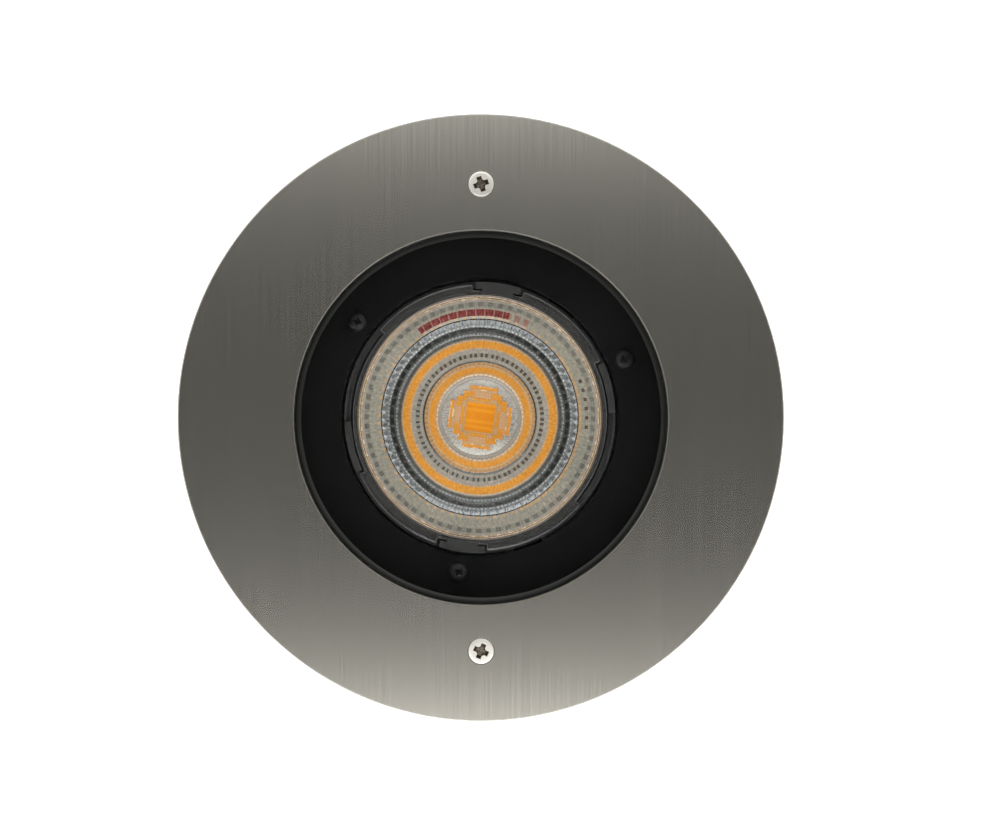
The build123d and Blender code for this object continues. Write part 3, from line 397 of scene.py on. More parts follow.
# turned brass inserts and washer
BRASS = Finish("turned_brass", "#C9A455", "#DDBB6E", 0.28, 1.0, Pattern.TURNED, grain_mm=0.2,
               relief_mm=0.003)
# zinc plated steel earthing screw
ZINC = Finish("bright_zinc_steel", "#C2C2BC", "#D6D6D0", 0.3, 1.0, Pattern.TURNED, grain_mm=0.25,
              relief_mm=0.002)
# moulded black polypropylene sleeve: soft sheen, coarse tool grain
SLEEVE_BLACK = Finish("black_polypropylene", "#121213", "#1C1C1E", 0.5, grain_mm=0.7, relief_mm=0.03,
                      specular=0.3)
# tempered soda lime glass with a trace of green
SODA_GLASS = ClearFinish("tempered_soda_lime_glass", "#FAFAF9", 1.5, 0.0, 1.0)
# clear moulded acrylic, slightly hazy where it is thin
CLEAR_ACRYLIC = ClearFinish("clear_moulded_acrylic", "#767674", 1.49, 0.08, 0.86)


def lens_finish(name: str, dark: str, light: str, roughness: float = 0.22, metallic: float = 0.0,
                relief_mm: float = 0.01) -> Finish:
    """A zone of the faceted acrylic with what its facets show from below.

    Args:
        name: what the zone shows.
        dark: its darkest colour.
        light: its lightest colour.
        roughness: of the moulded face.
        metallic: one where the facets throw all light back.
        relief_mm: depth of the fine facets.

    Returns:
        The finish.
    """
    return Finish(name, dark, light, roughness, metallic, Pattern.FACETED, grain_mm=0.35,
                  relief_mm=relief_mm, coat=0.5)


# what the rings show from above: first the lit warm middle, then the clear facets from light to dark,
# then the painted highlight on the flange's edge and the lead that crosses below
LENS_CORE = lens_finish("acrylic_over_led_core", "#B36E14", "#CD8721")
LENS_CORE_DEEP = lens_finish("acrylic_over_led_core_rows", "#AA630B", "#C67C1A")
LENS_PHOSPHOR = lens_finish("acrylic_over_phosphor", "#A16823", "#CD8F3C")
LENS_TAN = lens_finish("acrylic_over_phosphor_rim", "#8D7351", "#B79A75")
LENS_PINK = lens_finish("acrylic_over_warm_board", "#987758", "#BC9671")
LENS_HAZE = lens_finish("acrylic_band_round_core", "#926E42", "#BB8F5D")
LENS_AMBER = lens_finish("acrylic_over_phosphor_edge", "#63584B", "#897B66")
LENS_FADE = lens_finish("acrylic_fading_orange", "#7A664E", "#9A8264")
LENS_TICK = lens_finish("acrylic_orange_ticks", "#9A7044", "#B88A5A")
LENS_CREAM = lens_finish("acrylic_bright_edge", "#A58463", "#DCC9B0")
LENS_PALE = lens_finish("acrylic_pale_facets", "#73716C", "#BBB7B0", 0.3, 0.2, 0.02)
LENS_WHITE = lens_finish("acrylic_over_lit_board", "#8F8D87", "#D2CFC7", 0.3, 0.2, 0.02)
LENS_STONE = lens_finish("acrylic_stone_facets", "#716D63", "#9A9289")
LENS_GREY = lens_finish("acrylic_grey_facets", "#63625A", "#89867B")
LENS_BEIGE = lens_finish("acrylic_beige_facets", "#676B61", "#968E81")
LENS_STEEL = lens_finish("acrylic_steel_facets", "#3F4444", "#6F7575", 0.3, 0.3, 0.02)
LENS_SILVER = lens_finish("acrylic_total_reflection", "#676A6C", "#AEB1B3", 0.3, 0.4, 0.01)
# middles of the scale domes: painted shade
LENS_SCALE_SHADE = lens_finish("acrylic_scale_painted_shade", "#444747", "#6A6E6E", 0.3, 0.3, 0.01)
LENS_SHADOW = lens_finish("acrylic_dark_facets", "#333330", "#53514C")
LENS_COAL = lens_finish("acrylic_deep_facets", "#1C1E1C", "#353836")
LENS_BLACK = lens_finish("acrylic_black_facets", "#0E100F", "#272A28")
LENS_PIT = lens_finish("acrylic_shaded_pits", "#4B4B46", "#706E66")
LENS_DUSK = lens_finish("acrylic_dusky_facets", "#5A5A52", "#77736C")
LENS_BROWN = lens_finish("acrylic_brown_facets", "#352C26", "#5C5146")
# rounded edge of the clear flange: a painted highlight
LENS_RIM_HIGHLIGHT = lens_finish("acrylic_flange_edge_highlight", "#4F4F51", "#717173")
LENS_RED = lens_finish("acrylic_over_red_lead", "#340D0E", "#84403C")
LENS_ROSE = lens_finish("acrylic_over_red_lead_end", "#68463F", "#98786C")
# edge of the cover glass, ground with a fine wheel: dull, and painted near black as shade so that the gap
# round the glass stays dark
SHADED_GLASS_EDGE = Finish("ground_glass_edge_painted_shade", "#060706", "#0C0D0C", 0.7, grain_mm=0.15, relief_mm=0.004,
                     specular=0.2)
# its bevel, smoothed after grinding: a soft grey line round the window
GROUND_BEVEL = Finish("ground_glass_bevel", "#1A1B19", "#242523", 0.45, grain_mm=0.2, relief_mm=0.003,
                      specular=0.2)


# ---------------------------------------------------------------- mesh helpers
def finished_object(name: str, bm: bmesh.types.BMesh, finishes: Sequence[Surface],
                    sharp_degrees: float = 35.0,
                    rounded: Iterable[bmesh.types.BMFace] = ()) -> bpy.types.Object:
    """Turns a bmesh into an object with smooth shading and its finishes.

    Args:
        name: the piece's name.
        bm: the mesh, which is freed.
        finishes: one for each material number of the mesh.
        sharp_degrees: edges that turn more than this stay sharp.
        rounded: faces of rounded edges, whose shading stays off the flats beside them.

    Returns:
        The new object, linked to the scene.
    """
    rounding = set(rounded)
    for face in bm.faces:
        face.smooth = True
    for edge in bm.edges:
        edge.smooth = (len(edge.link_faces) == 2 and edge.calc_face_angle(0.0) < math.radians(sharp_degrees)
                       and len(rounding.intersection(edge.link_faces)) != 1)
    mesh = bpy.data.meshes.new(name)
    bm.to_mesh(mesh)
    bm.free()
    for finish in finishes:
        mesh.materials.append(finish.material())
    return link_object(name, mesh)


def stand_for(piece: bpy.types.Object, node: str) -> None:
    """Lets a piece ride with and replace its CAD node, which it hides.

    Args:
        piece: the new piece.
        node: the CAD node that it stands for.
    """
    body = next(name for name, nodes in frame["record"]["behaviour"]["bodies"].items() if node in nodes)
    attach(piece, body)
    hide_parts(node)
    log.info("%s stands for %s on %s: %d faces", piece.name, node, body, len(piece.data.polygons))


def dress(node: str, finish: Surface) -> None:
    """Gives a CAD node its finish.

    Args:
        node: the CAD node.
        finish: what it is made of.
    """
    mesh = frame["nodes"][node].data
    mesh.materials.clear()
    mesh.materials.append(finish.material())
    log.info("%s keeps its CAD shape in %s", node, finish.name)


def cad_mesh(node: str) -> bmesh.types.BMesh:
    """Copies a CAD node's mesh and welds its corners.

    Args:
        node: the CAD node.

    Returns:
        The copy.
    """
    bm = bmesh.new()
    bm.from_mesh(frame["nodes"][node].data)
    bmesh.ops.remove_doubles(bm, verts=bm.verts, dist=CAD_WELD)
    return bm


def turn_about_z(bm: bmesh.types.BMesh, verts: Iterable[bmesh.types.BMVert], angle: float) -> None:
    """Turns corners of a mesh about the centre line."""
    bmesh.ops.rotate(bm, verts=verts, cent=(0, 0, 0), matrix=Matrix.Rotation(angle, 3, "Z"))


def corners(geom: Iterable) -> list[bmesh.types.BMVert]:
    """Picks the corners out of what a mesh operation gives."""
    return [item for item in geom if isinstance(item, bmesh.types.BMVert)]


def round_edges(bm: bmesh.types.BMesh, edge_mm: float, segments: int, lowest_degrees: float,
                loop_slide: bool = True) -> list[bmesh.types.BMFace]:
    """Rounds every edge of a mesh that turns more than an angle.

    Args:
        bm: the mesh.
        edge_mm: how far the rounding runs back from an edge.
        segments: faces across the rounding.
        lowest_degrees: edges that turn less than this stay as they are.
        loop_slide: whether the rounding's corners slide along the edges beside them.

    Returns:
        The rounding's faces.
    """
    sharp = [edge for edge in bm.edges
             if len(edge.link_faces) == 2 and edge.calc_face_angle(0.0) > math.radians(lowest_degrees)]
    return bmesh.ops.bevel(bm, geom=sharp, offset=edge_mm * MM, offset_type="OFFSET", segments=segments,
                           profile=0.5, affect="EDGES", material=-1, clamp_overlap=True,
                           loop_slide=loop_slide)["faces"]


def soften(node: str, finish: Finish, edge_mm: float, segments: int = 2) -> None:
    """Replaces a CAD node by a copy of its mesh whose edges are rounded.

    Args:
        node: the CAD node.
        finish: what it is made of.
        edge_mm: how far the rounding runs back from an edge.
        segments: faces across the rounding.
    """
    bm = cad_mesh(node)
    bmesh.ops.dissolve_limit(bm, angle_limit=FLAT_ANGLE, verts=bm.verts, edges=bm.edges,
                             use_dissolve_boundaries=False)
    rounded = round_edges(bm, edge_mm, segments, lowest_degrees=40.0)
    stand_for(finished_object(f"{node}_soft_edged", bm, [finish], sharp_degrees=30.0, rounded=rounded), node)


def lathe(bm: bmesh.types.BMesh, profile_mm: Sequence[tuple[float, float]], steps: int) -> None:
    """Spins a profile of radius and height once round the Z axis.

    Args:
        bm: the empty mesh that takes it.
        profile_mm: radius and height of each point, in millimetres.
        steps: faces round.
    """
    points = [bm.verts.new((radius * MM, 0.0, height * MM)) for radius, height in profile_mm]
    edges = [bm.edges.new(pair) for pair in zip(points, points[1:])]
    bmesh.ops.spin(bm, geom=points + edges, cent=(0, 0, 0), axis=(0, 0, 1), angle=FULL_TURN,
                   steps=steps, use_merge=True)
    bmesh.ops.remove_doubles(bm, verts=bm.verts, dist=SEAM_WELD)
    bmesh.ops.recalc_face_normals(bm, faces=bm.faces)


def angle_of(point: Vector) -> float:
    """Angle of a point about the centre line, from 0 to a full turn."""
    return math.atan2(point.y, point.x) % FULL_TURN


# ---------------------------------------------------------------- screws
@dataclass
class CrossScrew:
    """A screw with a crowned head, a soft rim and a punched cross recess.

    The punch is two blades, tapered along, across and down, and a blunt cone in their middle,
    whose radii at bottom and top are shares of the recess's reach, its depth one of its depth.
    """

    profile_mm: Sequence[tuple[float, float]]
    recess_reach_mm: float
    recess_width_mm: float
    recess_depth_mm: float
    top_mm: float
    finish: Finish
    recess_finish: Finish
    floor_finish: Finish
    steps: int = 64
    blade_taper: ClassVar[tuple[float, float, float]] = (0.45, 0.6, 1.0)
    heart_radii: ClassVar[tuple[float, float]] = (0.15, 0.8)
    heart_depth: ClassVar[float] = 2.2
    floor_below: ClassVar[float] = -0.9

    def cutter(self) -> bpy.types.Object:
        """Makes the punch: two crossed blades that narrow downwards.

        Returns:
            The punch as an object that shows nowhere.
        """
        bm = bmesh.new()
        for turn in (0.0, math.pi / 2):
            blade = bmesh.ops.create_cube(bm, size=1.0)["verts"]
            bmesh.ops.scale(bm, verts=blade, vec=(2 * self.recess_reach_mm * MM, self.recess_width_mm * MM,
                                                  2 * self.recess_depth_mm * MM))
            low = [vert for vert in blade if vert.co.z < 0]
            bmesh.ops.scale(bm, verts=low, vec=self.blade_taper)
            turn_about_z(bm, blade, turn)
        bottom, top = self.heart_radii
        heart = bmesh.ops.create_cone(bm, cap_ends=True, segments=8,
                                      radius1=bottom * self.recess_reach_mm * MM,
                                      radius2=top * self.recess_reach_mm * MM,
                                      depth=self.heart_depth * self.recess_depth_mm * MM)["verts"]
        turn_about_z(bm, heart, math.pi / 8)
        bmesh.ops.translate(bm, verts=bm.verts, vec=(0, 0, self.top_mm * MM))
        bm.normal_update()
        for face in bm.faces:
            face.material_index = int(face.normal.z < self.floor_below)
        return finished_object("punch", bm, [self.recess_finish, self.floor_finish])

    def mesh(self) -> bpy.types.Mesh:
        """Makes one screw, its head's seat or top at the origin.

        Returns:
            The screw's mesh with both finishes.
        """
        bm = bmesh.new()
        lathe(bm, self.profile_mm, self.steps)
        head = finished_object("blank", bm, [self.finish])
        punch = self.cutter()
        cut = head.modifiers.new("punch", "BOOLEAN")
        cut.operation, cut.object, cut.solver, cut.material_mode = "DIFFERENCE", punch, "EXACT", "TRANSFER"
        cut.use_self = True
        bpy.context.view_layer.update()
        shaped = bpy.data.meshes.new_from_object(head.evaluated_get(bpy.context.evaluated_depsgraph_get()))
        for scrap in (head, punch):
            bpy.data.objects.remove(scrap)
        return shaped

    def place(self, name: str, spots: Iterable[tuple[Vector, float]], node: str) -> bpy.types.Object:
        """Sets copies of the screw at their places as one piece.

        Args:
            name: the piece's name.
            spots: place and turn of each screw.
            node: the CAD node that the screws stand for.

        Returns:
            The piece.
        """
        bm = bmesh.new()
        source = self.mesh()
        for spot, turn in spots:
            first = len(bm.verts)
            bm.from_mesh(source)
            bm.verts.ensure_lookup_table()
            bmesh.ops.transform(bm, matrix=Matrix.Translation(spot) @ Matrix.Rotation(turn, 4, "Z"),
                                verts=bm.verts[first:])
        piece = finished_object(name, bm, [self.finish, self.recess_finish, self.floor_finish])
        bpy.data.meshes.remove(source)
        stand_for(piece, node)
        return piece


def countersunk_m4(head_mm: Sequence[tuple[float, float]], length_mm: float) -> CrossScrew:
    """An M4 countersunk screw, its head's top at the origin.

    Args:
        head_mm: radius and height of the head's outline, from the middle down to its neck.
        length_mm: the screw's length with its head.

    Returns:
        The screw.
    """
    end = 0.05 - length_mm
    shank = [(2.0, -2.2), (2.0, 0.4 - length_mm), (1.7, end), (0.0, end)]
    # the recess's walls and floor carry painted shade, lighter on the floor
    return CrossScrew([*head_mm, *shank], recess_reach_mm=3.15, recess_width_mm=1.9, recess_depth_mm=1.5,
                      top_mm=0.0, finish=SCREW_STEEL, recess_finish=RECESS_SHADE_STEEL, floor_finish=RECESS_FLOOR_SHADE_STEEL)


def on_circle(radius_mm: float, degrees: float, level_mm: float) -> Vector:
    """Point on a circle about the centre line, in metres."""
    turn = math.radians(degrees)
    return Vector((radius_mm * math.cos(turn), radius_mm * math.sin(turn), level_mm)) * MM


# ---------------------------------------------------------------- trim and window
@dataclass
class TrimAssembly:
    """The ground plate and the two screws that hold the lamp in its sleeve."""

    screw_radius_mm: float = 69.25
    screw_level_mm: float = 170.0
    screw_length_mm: float = 20.0
    screw_turns: tuple[float, float] = (19.0, -23.0)
    rim_from_mm: float = 85.0
    slope_from: float = 0.3

    def plate(self) -> None:
        """Gives the plate its ground faces and its scraped edges."""
        bm = cad_mesh("trim_plate")
        for face in bm.faces:
            if self.slope_from < face.normal.z < FLAT_FROM:
                face.material_index = 1 + int(face.calc_center_median().xy.length > self.rim_from_mm * MM)
        stand_for(finished_object("trim_plate_ground", bm, [PLATE_STEEL, EDGE_STEEL, RIM_STEEL],
                                  sharp_degrees=30.0), "trim_plate")

    def build(self) -> None:
        """Finishes the plate and sets the screws."""
        self.plate()
        spots = [(on_circle(self.screw_radius_mm, side, self.screw_level_mm), math.radians(turn))
                 for side, turn in zip((90.0, -90.0), self.screw_turns)]
        head = [(0.0, 0.0), (2.2, -0.005), (3.2, -0.015), (3.55, -0.05), (3.7, -0.14), (3.74, -0.3),
                (2.06, -2.0)]
        countersunk_m4(head, self.screw_length_mm).place("trim_screws_punched", spots, "trim_screws")


@dataclass
class Window:
    """The stepped glass with its gaskets, clamp ring and clamp screws."""

    screw_radius_mm: float = 69.0
    screw_level_mm: float = 166.95
    screw_count: int = 6
    screw_turn: float = 17.0
    screw_length_mm: float = 8.0
    wall_below: float = 0.2

    def glass(self) -> None:
        """Gives the glass its clear faces and its dull ground edge, which is painted near black as shade."""
        bm = cad_mesh("cover_glass")
        for face in bm.faces:
            # walls: the ground edge, painted near black as shade
            if abs(face.normal.z) < self.wall_below:
                face.material_index = 1
            elif self.wall_below < face.normal.z < FLAT_FROM:
                face.material_index = 2
        stand_for(finished_object("cover_glass_ground", bm, [SODA_GLASS, SHADED_GLASS_EDGE, GROUND_BEVEL],
                                  sharp_degrees=30.0), "cover_glass")

    def build(self) -> None:
        """Dresses the glass and gaskets, rounds the ring and sets its screws."""
        self.glass()
        dress("glass_top_gasket", SILICONE)
        dress("glass_seat_gasket", SILICONE)
        soften("clamp_ring", TURNED_ALUMINIUM, 0.25)
        step = 360.0 / self.screw_count
        spots = [(on_circle(self.screw_radius_mm, place * step, self.screw_level_mm),
                  math.radians(self.screw_turn * place)) for place in range(self.screw_count)]
        head = [(0.0, 0.0), (3.0, -0.03), (3.6, -0.08), (3.74, -0.22), (2.06, -1.95)]
        countersunk_m4(head, self.screw_length_mm).place("clamp_screws_punched", spots, "clamp_screws")


# ---------------------------------------------------------------- optic
@dataclass
class CoverRing:
    """The black ring round the lens, its three pan head screws and posts."""

    screw_radius_mm: float = 46.4
    screw_level_mm: float = 154.5
    screw_angles: tuple[float, ...] = (22.0, 142.0, 262.0)
    screw_turns: tuple[float, ...] = (28.0, 75.0, 51.0)
    screw_length_mm: float = 8.0

    def build(self) -> None:
        """Rounds the ring and the posts and sets the screws."""
        soften("cover_ring", SATIN_BLACK, 0.3, segments=3)
        soften("cover_posts", NICKEL, 0.25)
        screw = CrossScrew(
            [(0.0, 2.35), (0.9, 2.3), (1.7, 2.08), (2.35, 1.7), (2.75, 1.25), (2.93, 0.8), (2.98, 0.2),
             (2.9, 0.02), (1.5, 0.0), (1.5, -self.screw_length_mm + 0.3),
             (1.25, -self.screw_length_mm + 0.02), (0.0, -self.screw_length_mm + 0.02)],
            recess_reach_mm=1.6, recess_width_mm=0.8, recess_depth_mm=1.3, top_mm=2.4,
            finish=BLACK_ZINC, recess_finish=BLACK_ZINC, floor_finish=BLACK_ZINC)
        screw.place("cover_ring_screws_punched",
                    [(on_circle(self.screw_radius_mm, angle, self.screw_level_mm), math.radians(turn))
                     for angle, turn in zip(self.screw_angles, self.screw_turns)], "cover_ring_screws")


class Relief(Enum):
    """What stands out of a zone of the lens: its facets' margin and rise in millimetres, and its name."""

    PLAIN = (0.0, 0.0, "smooth slope")
    PAIRS = (0.02, -0.05, "thirty six pairs of dark pits")
    PITS = (0.05, -0.08, "seventy two dark pits")
    SCALES = (0.0, 0.45, "seventy two domes side by side")
    DASHES = (0.01, -0.05, "seventy two dark dashes")
    TICKS = (0.02, 0.03, "fine ticks")
    COMB = (0.01, 0.03, "seventy two broad ticks")
    FLECKS = (0.03, 0.02, "bright flecks")
    SPOTS = (0.01, -0.02, "seventy two warm spots")
    LIT = (0.01, -0.02, "facets over the lit parts of the board, top and bottom")
    RED_ARC = (0.01, -0.02, "facets that show the red lead, and some that show the black one")

    @property
    def margin_mm(self) -> float:
        """How far a moved facet keeps from its neighbours."""
        return self.value[0]

    @property
    def rise_mm(self) -> float:
        """How far it moves, negative downwards."""
        return self.value[1]


@dataclass(frozen=True)
class Zone:
    """One ring of the lens face, from the zone before it out to a radius."""

    outer_mm: float
    rise_mm: float
    finish: Finish
    relief: Relief = Relief.PLAIN
    second: Finish | None = None


@dataclass
class RingedLens:
    """The moulded lens: tiled centre, ringed face, faceted body and flange.

    Sides of the rings are in degrees as seen from above, and the values that end in "from" are the
    lowest cosine to such a side, or the lowest sine to the X axis, at which a mark is made.
    """

    face_mm: float = 154.5
    ring_level_mm: float = 153.5
    flange_bottom_mm: float = 152.5
    body_radius_mm: float = 36.45
    flange_radius_mm: float = 37.8
    tab_radius_mm: float = 39.55
    tip_radius_mm: float = 11.0
    tip_level_mm: float = 120.5
    cavity_radius_mm: float = 8.6
    cavity_top_radius_mm: float = 6.5
    cavity_depth_mm: float = 13.0
    body_tiers: int = 5
    flange_gap_mm: float = 0.08
    flange_edge_mm: float = 0.18
    wall_within_mm: float = 0.02
    wall_from: float = 0.9
    segments: int = 576
    facet_count: int = 72
    scale_rows: int = 6
    wide_pairs_side: float = 30.0
    wide_pairs_from: float = -0.3
    warm_spots_side: float = -15.0
    warm_spots_from: float = 0.6
    lit_board_from: float = 0.62
    lit_board_ragged: float = 0.3
    lit_scales_from: float = 0.78
    scale_crest_from: float = 0.6
    scale_corner_from: float = 0.75
    # how far from a dome's middle its painted shade reaches
    scale_shade_within: float = 0.7
    shaded_pits: tuple[float, float] = (128.0, 350.0)
    red_lead: tuple[float, float] = (62.0, 125.0)
    red_lead_full_from: float = 74.0
    black_lead: tuple[float, float] = (351.0, 24.0)
    black_lead_from_mm: float = 31.0
    tile_lines_mm: tuple[float, ...] = (0.85, 1.7, 2.55, 3.4, 4.2, 4.9, 5.5, 5.8, 6.6, 7.2, 7.5, 7.95, 8.3,
                                        9.0, 9.3)
    tile_steps: tuple[tuple[float, float, Finish], ...] = (
        (4.9, 4.2, LENS_HAZE), (4.9, 4.9, LENS_STONE),
        (5.8, 2.5, LENS_PHOSPHOR), (5.8, 4.2, LENS_TAN), (5.8, 5.8, LENS_PHOSPHOR),
        (7.5, 2.5, LENS_PINK), (7.5, 5.8, LENS_PHOSPHOR),
        (8.3, 2.5, LENS_TAN), (8.3, 4.2, LENS_PINK),
        (9.3, 4.2, LENS_PHOSPHOR),
    )
    core_reach_mm: float = 4.2
    core_row_mm: float = 0.85
    tile_rise_mm: float = 0.05
    tile_margin_mm: float = 0.03
    tile_crown_mm: float = 0.22
    tile_fall: float = 0.02
    tile_scatter: tuple[float, float] = (12.9, 78.2)
    tile_glint_from: float = 0.35
    tile_skirt_mm: float = 0.75
    centre_radius_mm: float = 7.6
    tab_edges: tuple[float, float] = (11.5, 56.9)
    zones: tuple[Zone, ...] = (
        Zone(8.7, -0.22, LENS_PALE),
        Zone(9.6, -0.36, LENS_PALE, Relief.LIT, LENS_WHITE),
        Zone(10.5, -0.54, LENS_PALE, Relief.LIT, LENS_WHITE),
        Zone(11.2, -0.72, LENS_PALE, Relief.LIT, LENS_WHITE),
        Zone(11.5, -0.72, LENS_STONE),
        Zone(11.95, -0.50, LENS_STONE),
        Zone(12.3, -0.20, LENS_STONE),
        Zone(12.5, 0.05, LENS_STONE),
        Zone(12.9, 0.32, LENS_CREAM, Relief.FLECKS, LENS_TAN),
        Zone(13.3, 0.25, LENS_TAN),
        Zone(15.05, 0.08, LENS_PHOSPHOR),
        Zone(15.6, 0.04, LENS_TAN),
        Zone(16.5, 0.00, LENS_FADE, Relief.COMB, LENS_TICK),
        Zone(16.95, -0.20, LENS_COAL),
        Zone(17.25, 0.06, LENS_GREY),
        Zone(17.95, 0.15, LENS_STONE),
        Zone(19.1, 0.08, LENS_GREY, Relief.PAIRS, LENS_BROWN),
        Zone(20.4, 0.03, LENS_STONE),
        Zone(20.8, 0.06, LENS_TAN),
        Zone(22.8, 0.16, LENS_PHOSPHOR),
        Zone(23.15, 0.10, LENS_TAN),
        Zone(23.45, 0.00, LENS_AMBER),
        Zone(23.7, -0.08, LENS_BROWN),
        Zone(24.35, -0.12, LENS_SHADOW),
        Zone(24.65, 0.03, LENS_STEEL),
        Zone(25.05, 0.05, LENS_SILVER, Relief.TICKS, LENS_STEEL),
        Zone(25.5, -0.05, LENS_SHADOW),
        Zone(26.75, -0.25, LENS_BLACK, Relief.FLECKS, LENS_COAL),
        Zone(27.0, -0.05, LENS_SHADOW),
        Zone(27.35, 0.10, LENS_SILVER, Relief.TICKS, LENS_STEEL),
        Zone(29.15, 0.05, LENS_STEEL, Relief.SCALES, LENS_SILVER),
        Zone(29.45, -0.20, LENS_SHADOW, Relief.DASHES, LENS_BLACK),
        Zone(30.3, 0.05, LENS_STONE, Relief.SPOTS, LENS_TAN),
        Zone(31.3, 0.16, LENS_BEIGE, Relief.RED_ARC, LENS_RED),
        Zone(32.3, 0.22, LENS_BEIGE, Relief.RED_ARC, LENS_RED),
        Zone(32.5, 0.26, LENS_STONE),
        Zone(33.1, 0.20, LENS_BEIGE),
        Zone(34.4, 0.12, LENS_GREY, Relief.PITS, LENS_PIT),
        Zone(34.85, 0.18, LENS_STONE),
        Zone(35.2, 0.22, LENS_STONE),
        Zone(35.5, 0.24, LENS_TAN, Relief.FLECKS, LENS_CREAM),
        Zone(35.62, 0.24, LENS_STONE),
        Zone(35.78, 0.10, LENS_BROWN),
        Zone(36.0, 0.20, LENS_CREAM),
        Zone(36.12, 0.10, LENS_BROWN),
        Zone(36.4, 0.20, LENS_AMBER),
    )
    finishes: list[Finish] = field(default_factory=list)

    @property
    def per_facet(self) -> int:
        """Mesh faces to one facet of a ring."""
        return self.segments // self.facet_count

    def number(self, finish: Finish) -> int:
        """Material number of a finish on the lens, which is added when it is new.

        Args:
            finish: the finish.

        Returns:
            Its number.
        """
        if finish not in self.finishes:
            self.finishes.append(finish)
        return self.finishes.index(finish)

    def grow(self, bm: bmesh.types.BMesh, edges: list[bmesh.types.BMEdge], radius_mm: float,
             level_mm: float, material: int) -> tuple[list[bmesh.types.BMEdge], list[bmesh.types.BMFace]]:
        """Extrudes a ring of edges to another radius and level.

        Args:
            bm: the mesh.
            edges: the open ring.
            radius_mm: radius of the new ring.
            level_mm: level of the new ring.
            material: material number of the new faces.

        Returns:
            The new open ring, and the new faces in order of their angle.
        """
        grown = bmesh.ops.extrude_edge_only(bm, edges=edges)["geom"]
        verts = corners(grown)
        old = verts[0].co.xy.length
        bmesh.ops.scale(bm, verts=verts, vec=(radius_mm * MM / old, radius_mm * MM / old, 1.0))
        bmesh.ops.scale(bm, verts=verts, vec=(1.0, 1.0, 0.0))
        bmesh.ops.translate(bm, verts=verts, vec=(0, 0, level_mm * MM))
        faces = [item for item in grown if isinstance(item, bmesh.types.BMFace)]
        for face in faces:
            face.material_index = material
        faces.sort(key=lambda face: angle_of(face.calc_center_median()))
        fresh = set(verts)
        ring = [item for item in grown
                if isinstance(item, bmesh.types.BMEdge) and fresh.issuperset(item.verts)]
        return ring, faces

    def sink(self, bm: bmesh.types.BMesh, faces: list[bmesh.types.BMFace], finish: Finish,
             margin_mm: float, depth_mm: float) -> None:
        """Sinks or raises single facets within their own outlines.

        Args:
            bm: the mesh.
            faces: the facets.
            finish: what the moved facets show.
            margin_mm: how far each keeps from its neighbours.
            depth_mm: how far it moves, negative downwards.
        """
        groups = bmesh.ops.inset_individual(bm, faces=faces, thickness=margin_mm * MM, depth=depth_mm * MM,
                                            use_even_offset=True)
        for face in groups["faces"]:
            face.material_index = self.number(finish)
        for face in faces:
            face.material_index = self.number(finish)

    def facet_finish(self, zone: Zone, place: int, degrees: float, inner_mm: float) -> Finish | None:
        """What a face shows where its zone's relief moves it.

        Args:
            zone: the zone.
            place: the face's number round the ring.
            degrees: its angle as seen from above.
            inner_mm: the radius where the zone starts.

        Returns:
            The finish, or nothing for a face that stays in the slope.
        """
        step = place % self.per_facet
        angle = math.radians(degrees)
        relief = zone.relief
        if relief is Relief.PAIRS:
            pair_step = place % (2 * self.per_facet)
            if math.cos(angle - math.radians(self.wide_pairs_side)) > self.wide_pairs_from:
                return zone.second if pair_step in (1, 2, 3, 4, 8, 9, 10, 11) else None
            return LENS_SHADOW if pair_step in (2, 3, 4, 9, 10, 11) else None
        if relief is Relief.PITS:
            shaded = self.shaded_pits[0] < degrees < self.shaded_pits[1]
            return (zone.second if shaded else LENS_DUSK) if step in (2, 3, 4, 5) else None
        if relief is Relief.RED_ARC:
            over_black = degrees > self.black_lead[0] or degrees < self.black_lead[1]
            if over_black and inner_mm > self.black_lead_from_mm:
                return LENS_BROWN if step in (3, 4, 5) else None
            if not self.red_lead[0] < degrees < self.red_lead[1]:
                return None
            if degrees > self.red_lead_full_from:
                return zone.second if step else LENS_ROSE
            return LENS_ROSE if step in (1, 2, 3, 4, 5) else None
        if relief is Relief.DASHES:
            taken = step < self.per_facet - 2
        elif relief is Relief.TICKS:
            taken = place % 4 < 2
        elif relief is Relief.COMB:
            taken = step < self.per_facet // 2
        elif relief is Relief.SPOTS:
            warm = math.cos(angle - math.radians(self.warm_spots_side)) > self.warm_spots_from
            taken = step in (1, 2, 3) or (step > 0 and warm)
        elif relief is Relief.LIT:
            taken = abs(math.sin(angle)) > self.lit_board_from + self.lit_board_ragged * ((place * 7) % 5) / 5
        else:
            taken = (place * 7 + place // 5) % self.per_facet < 2
        return zone.second if taken else None

    def carve(self, bm: bmesh.types.BMesh, faces: list[bmesh.types.BMFace], zone: Zone,
              inner_mm: float) -> None:
        """Gives a zone its relief.

        Args:
            bm: the mesh.
            faces: the zone's faces in order of their angle.
            zone: the zone.
            inner_mm: the radius where the zone starts.
        """
        turn = math.degrees(OPTIC_TURN)
        chosen: dict[Finish, list[bmesh.types.BMFace]] = {}
        for place, face in enumerate(faces):
            degrees = (math.degrees(angle_of(face.calc_center_median())) + turn) % 360.0
            finish = self.facet_finish(zone, place, degrees, inner_mm)
            if finish:
                chosen.setdefault(finish, []).append(face)
        for finish, group in chosen.items():
            self.sink(bm, group, finish, zone.relief.margin_mm, zone.relief.rise_mm)

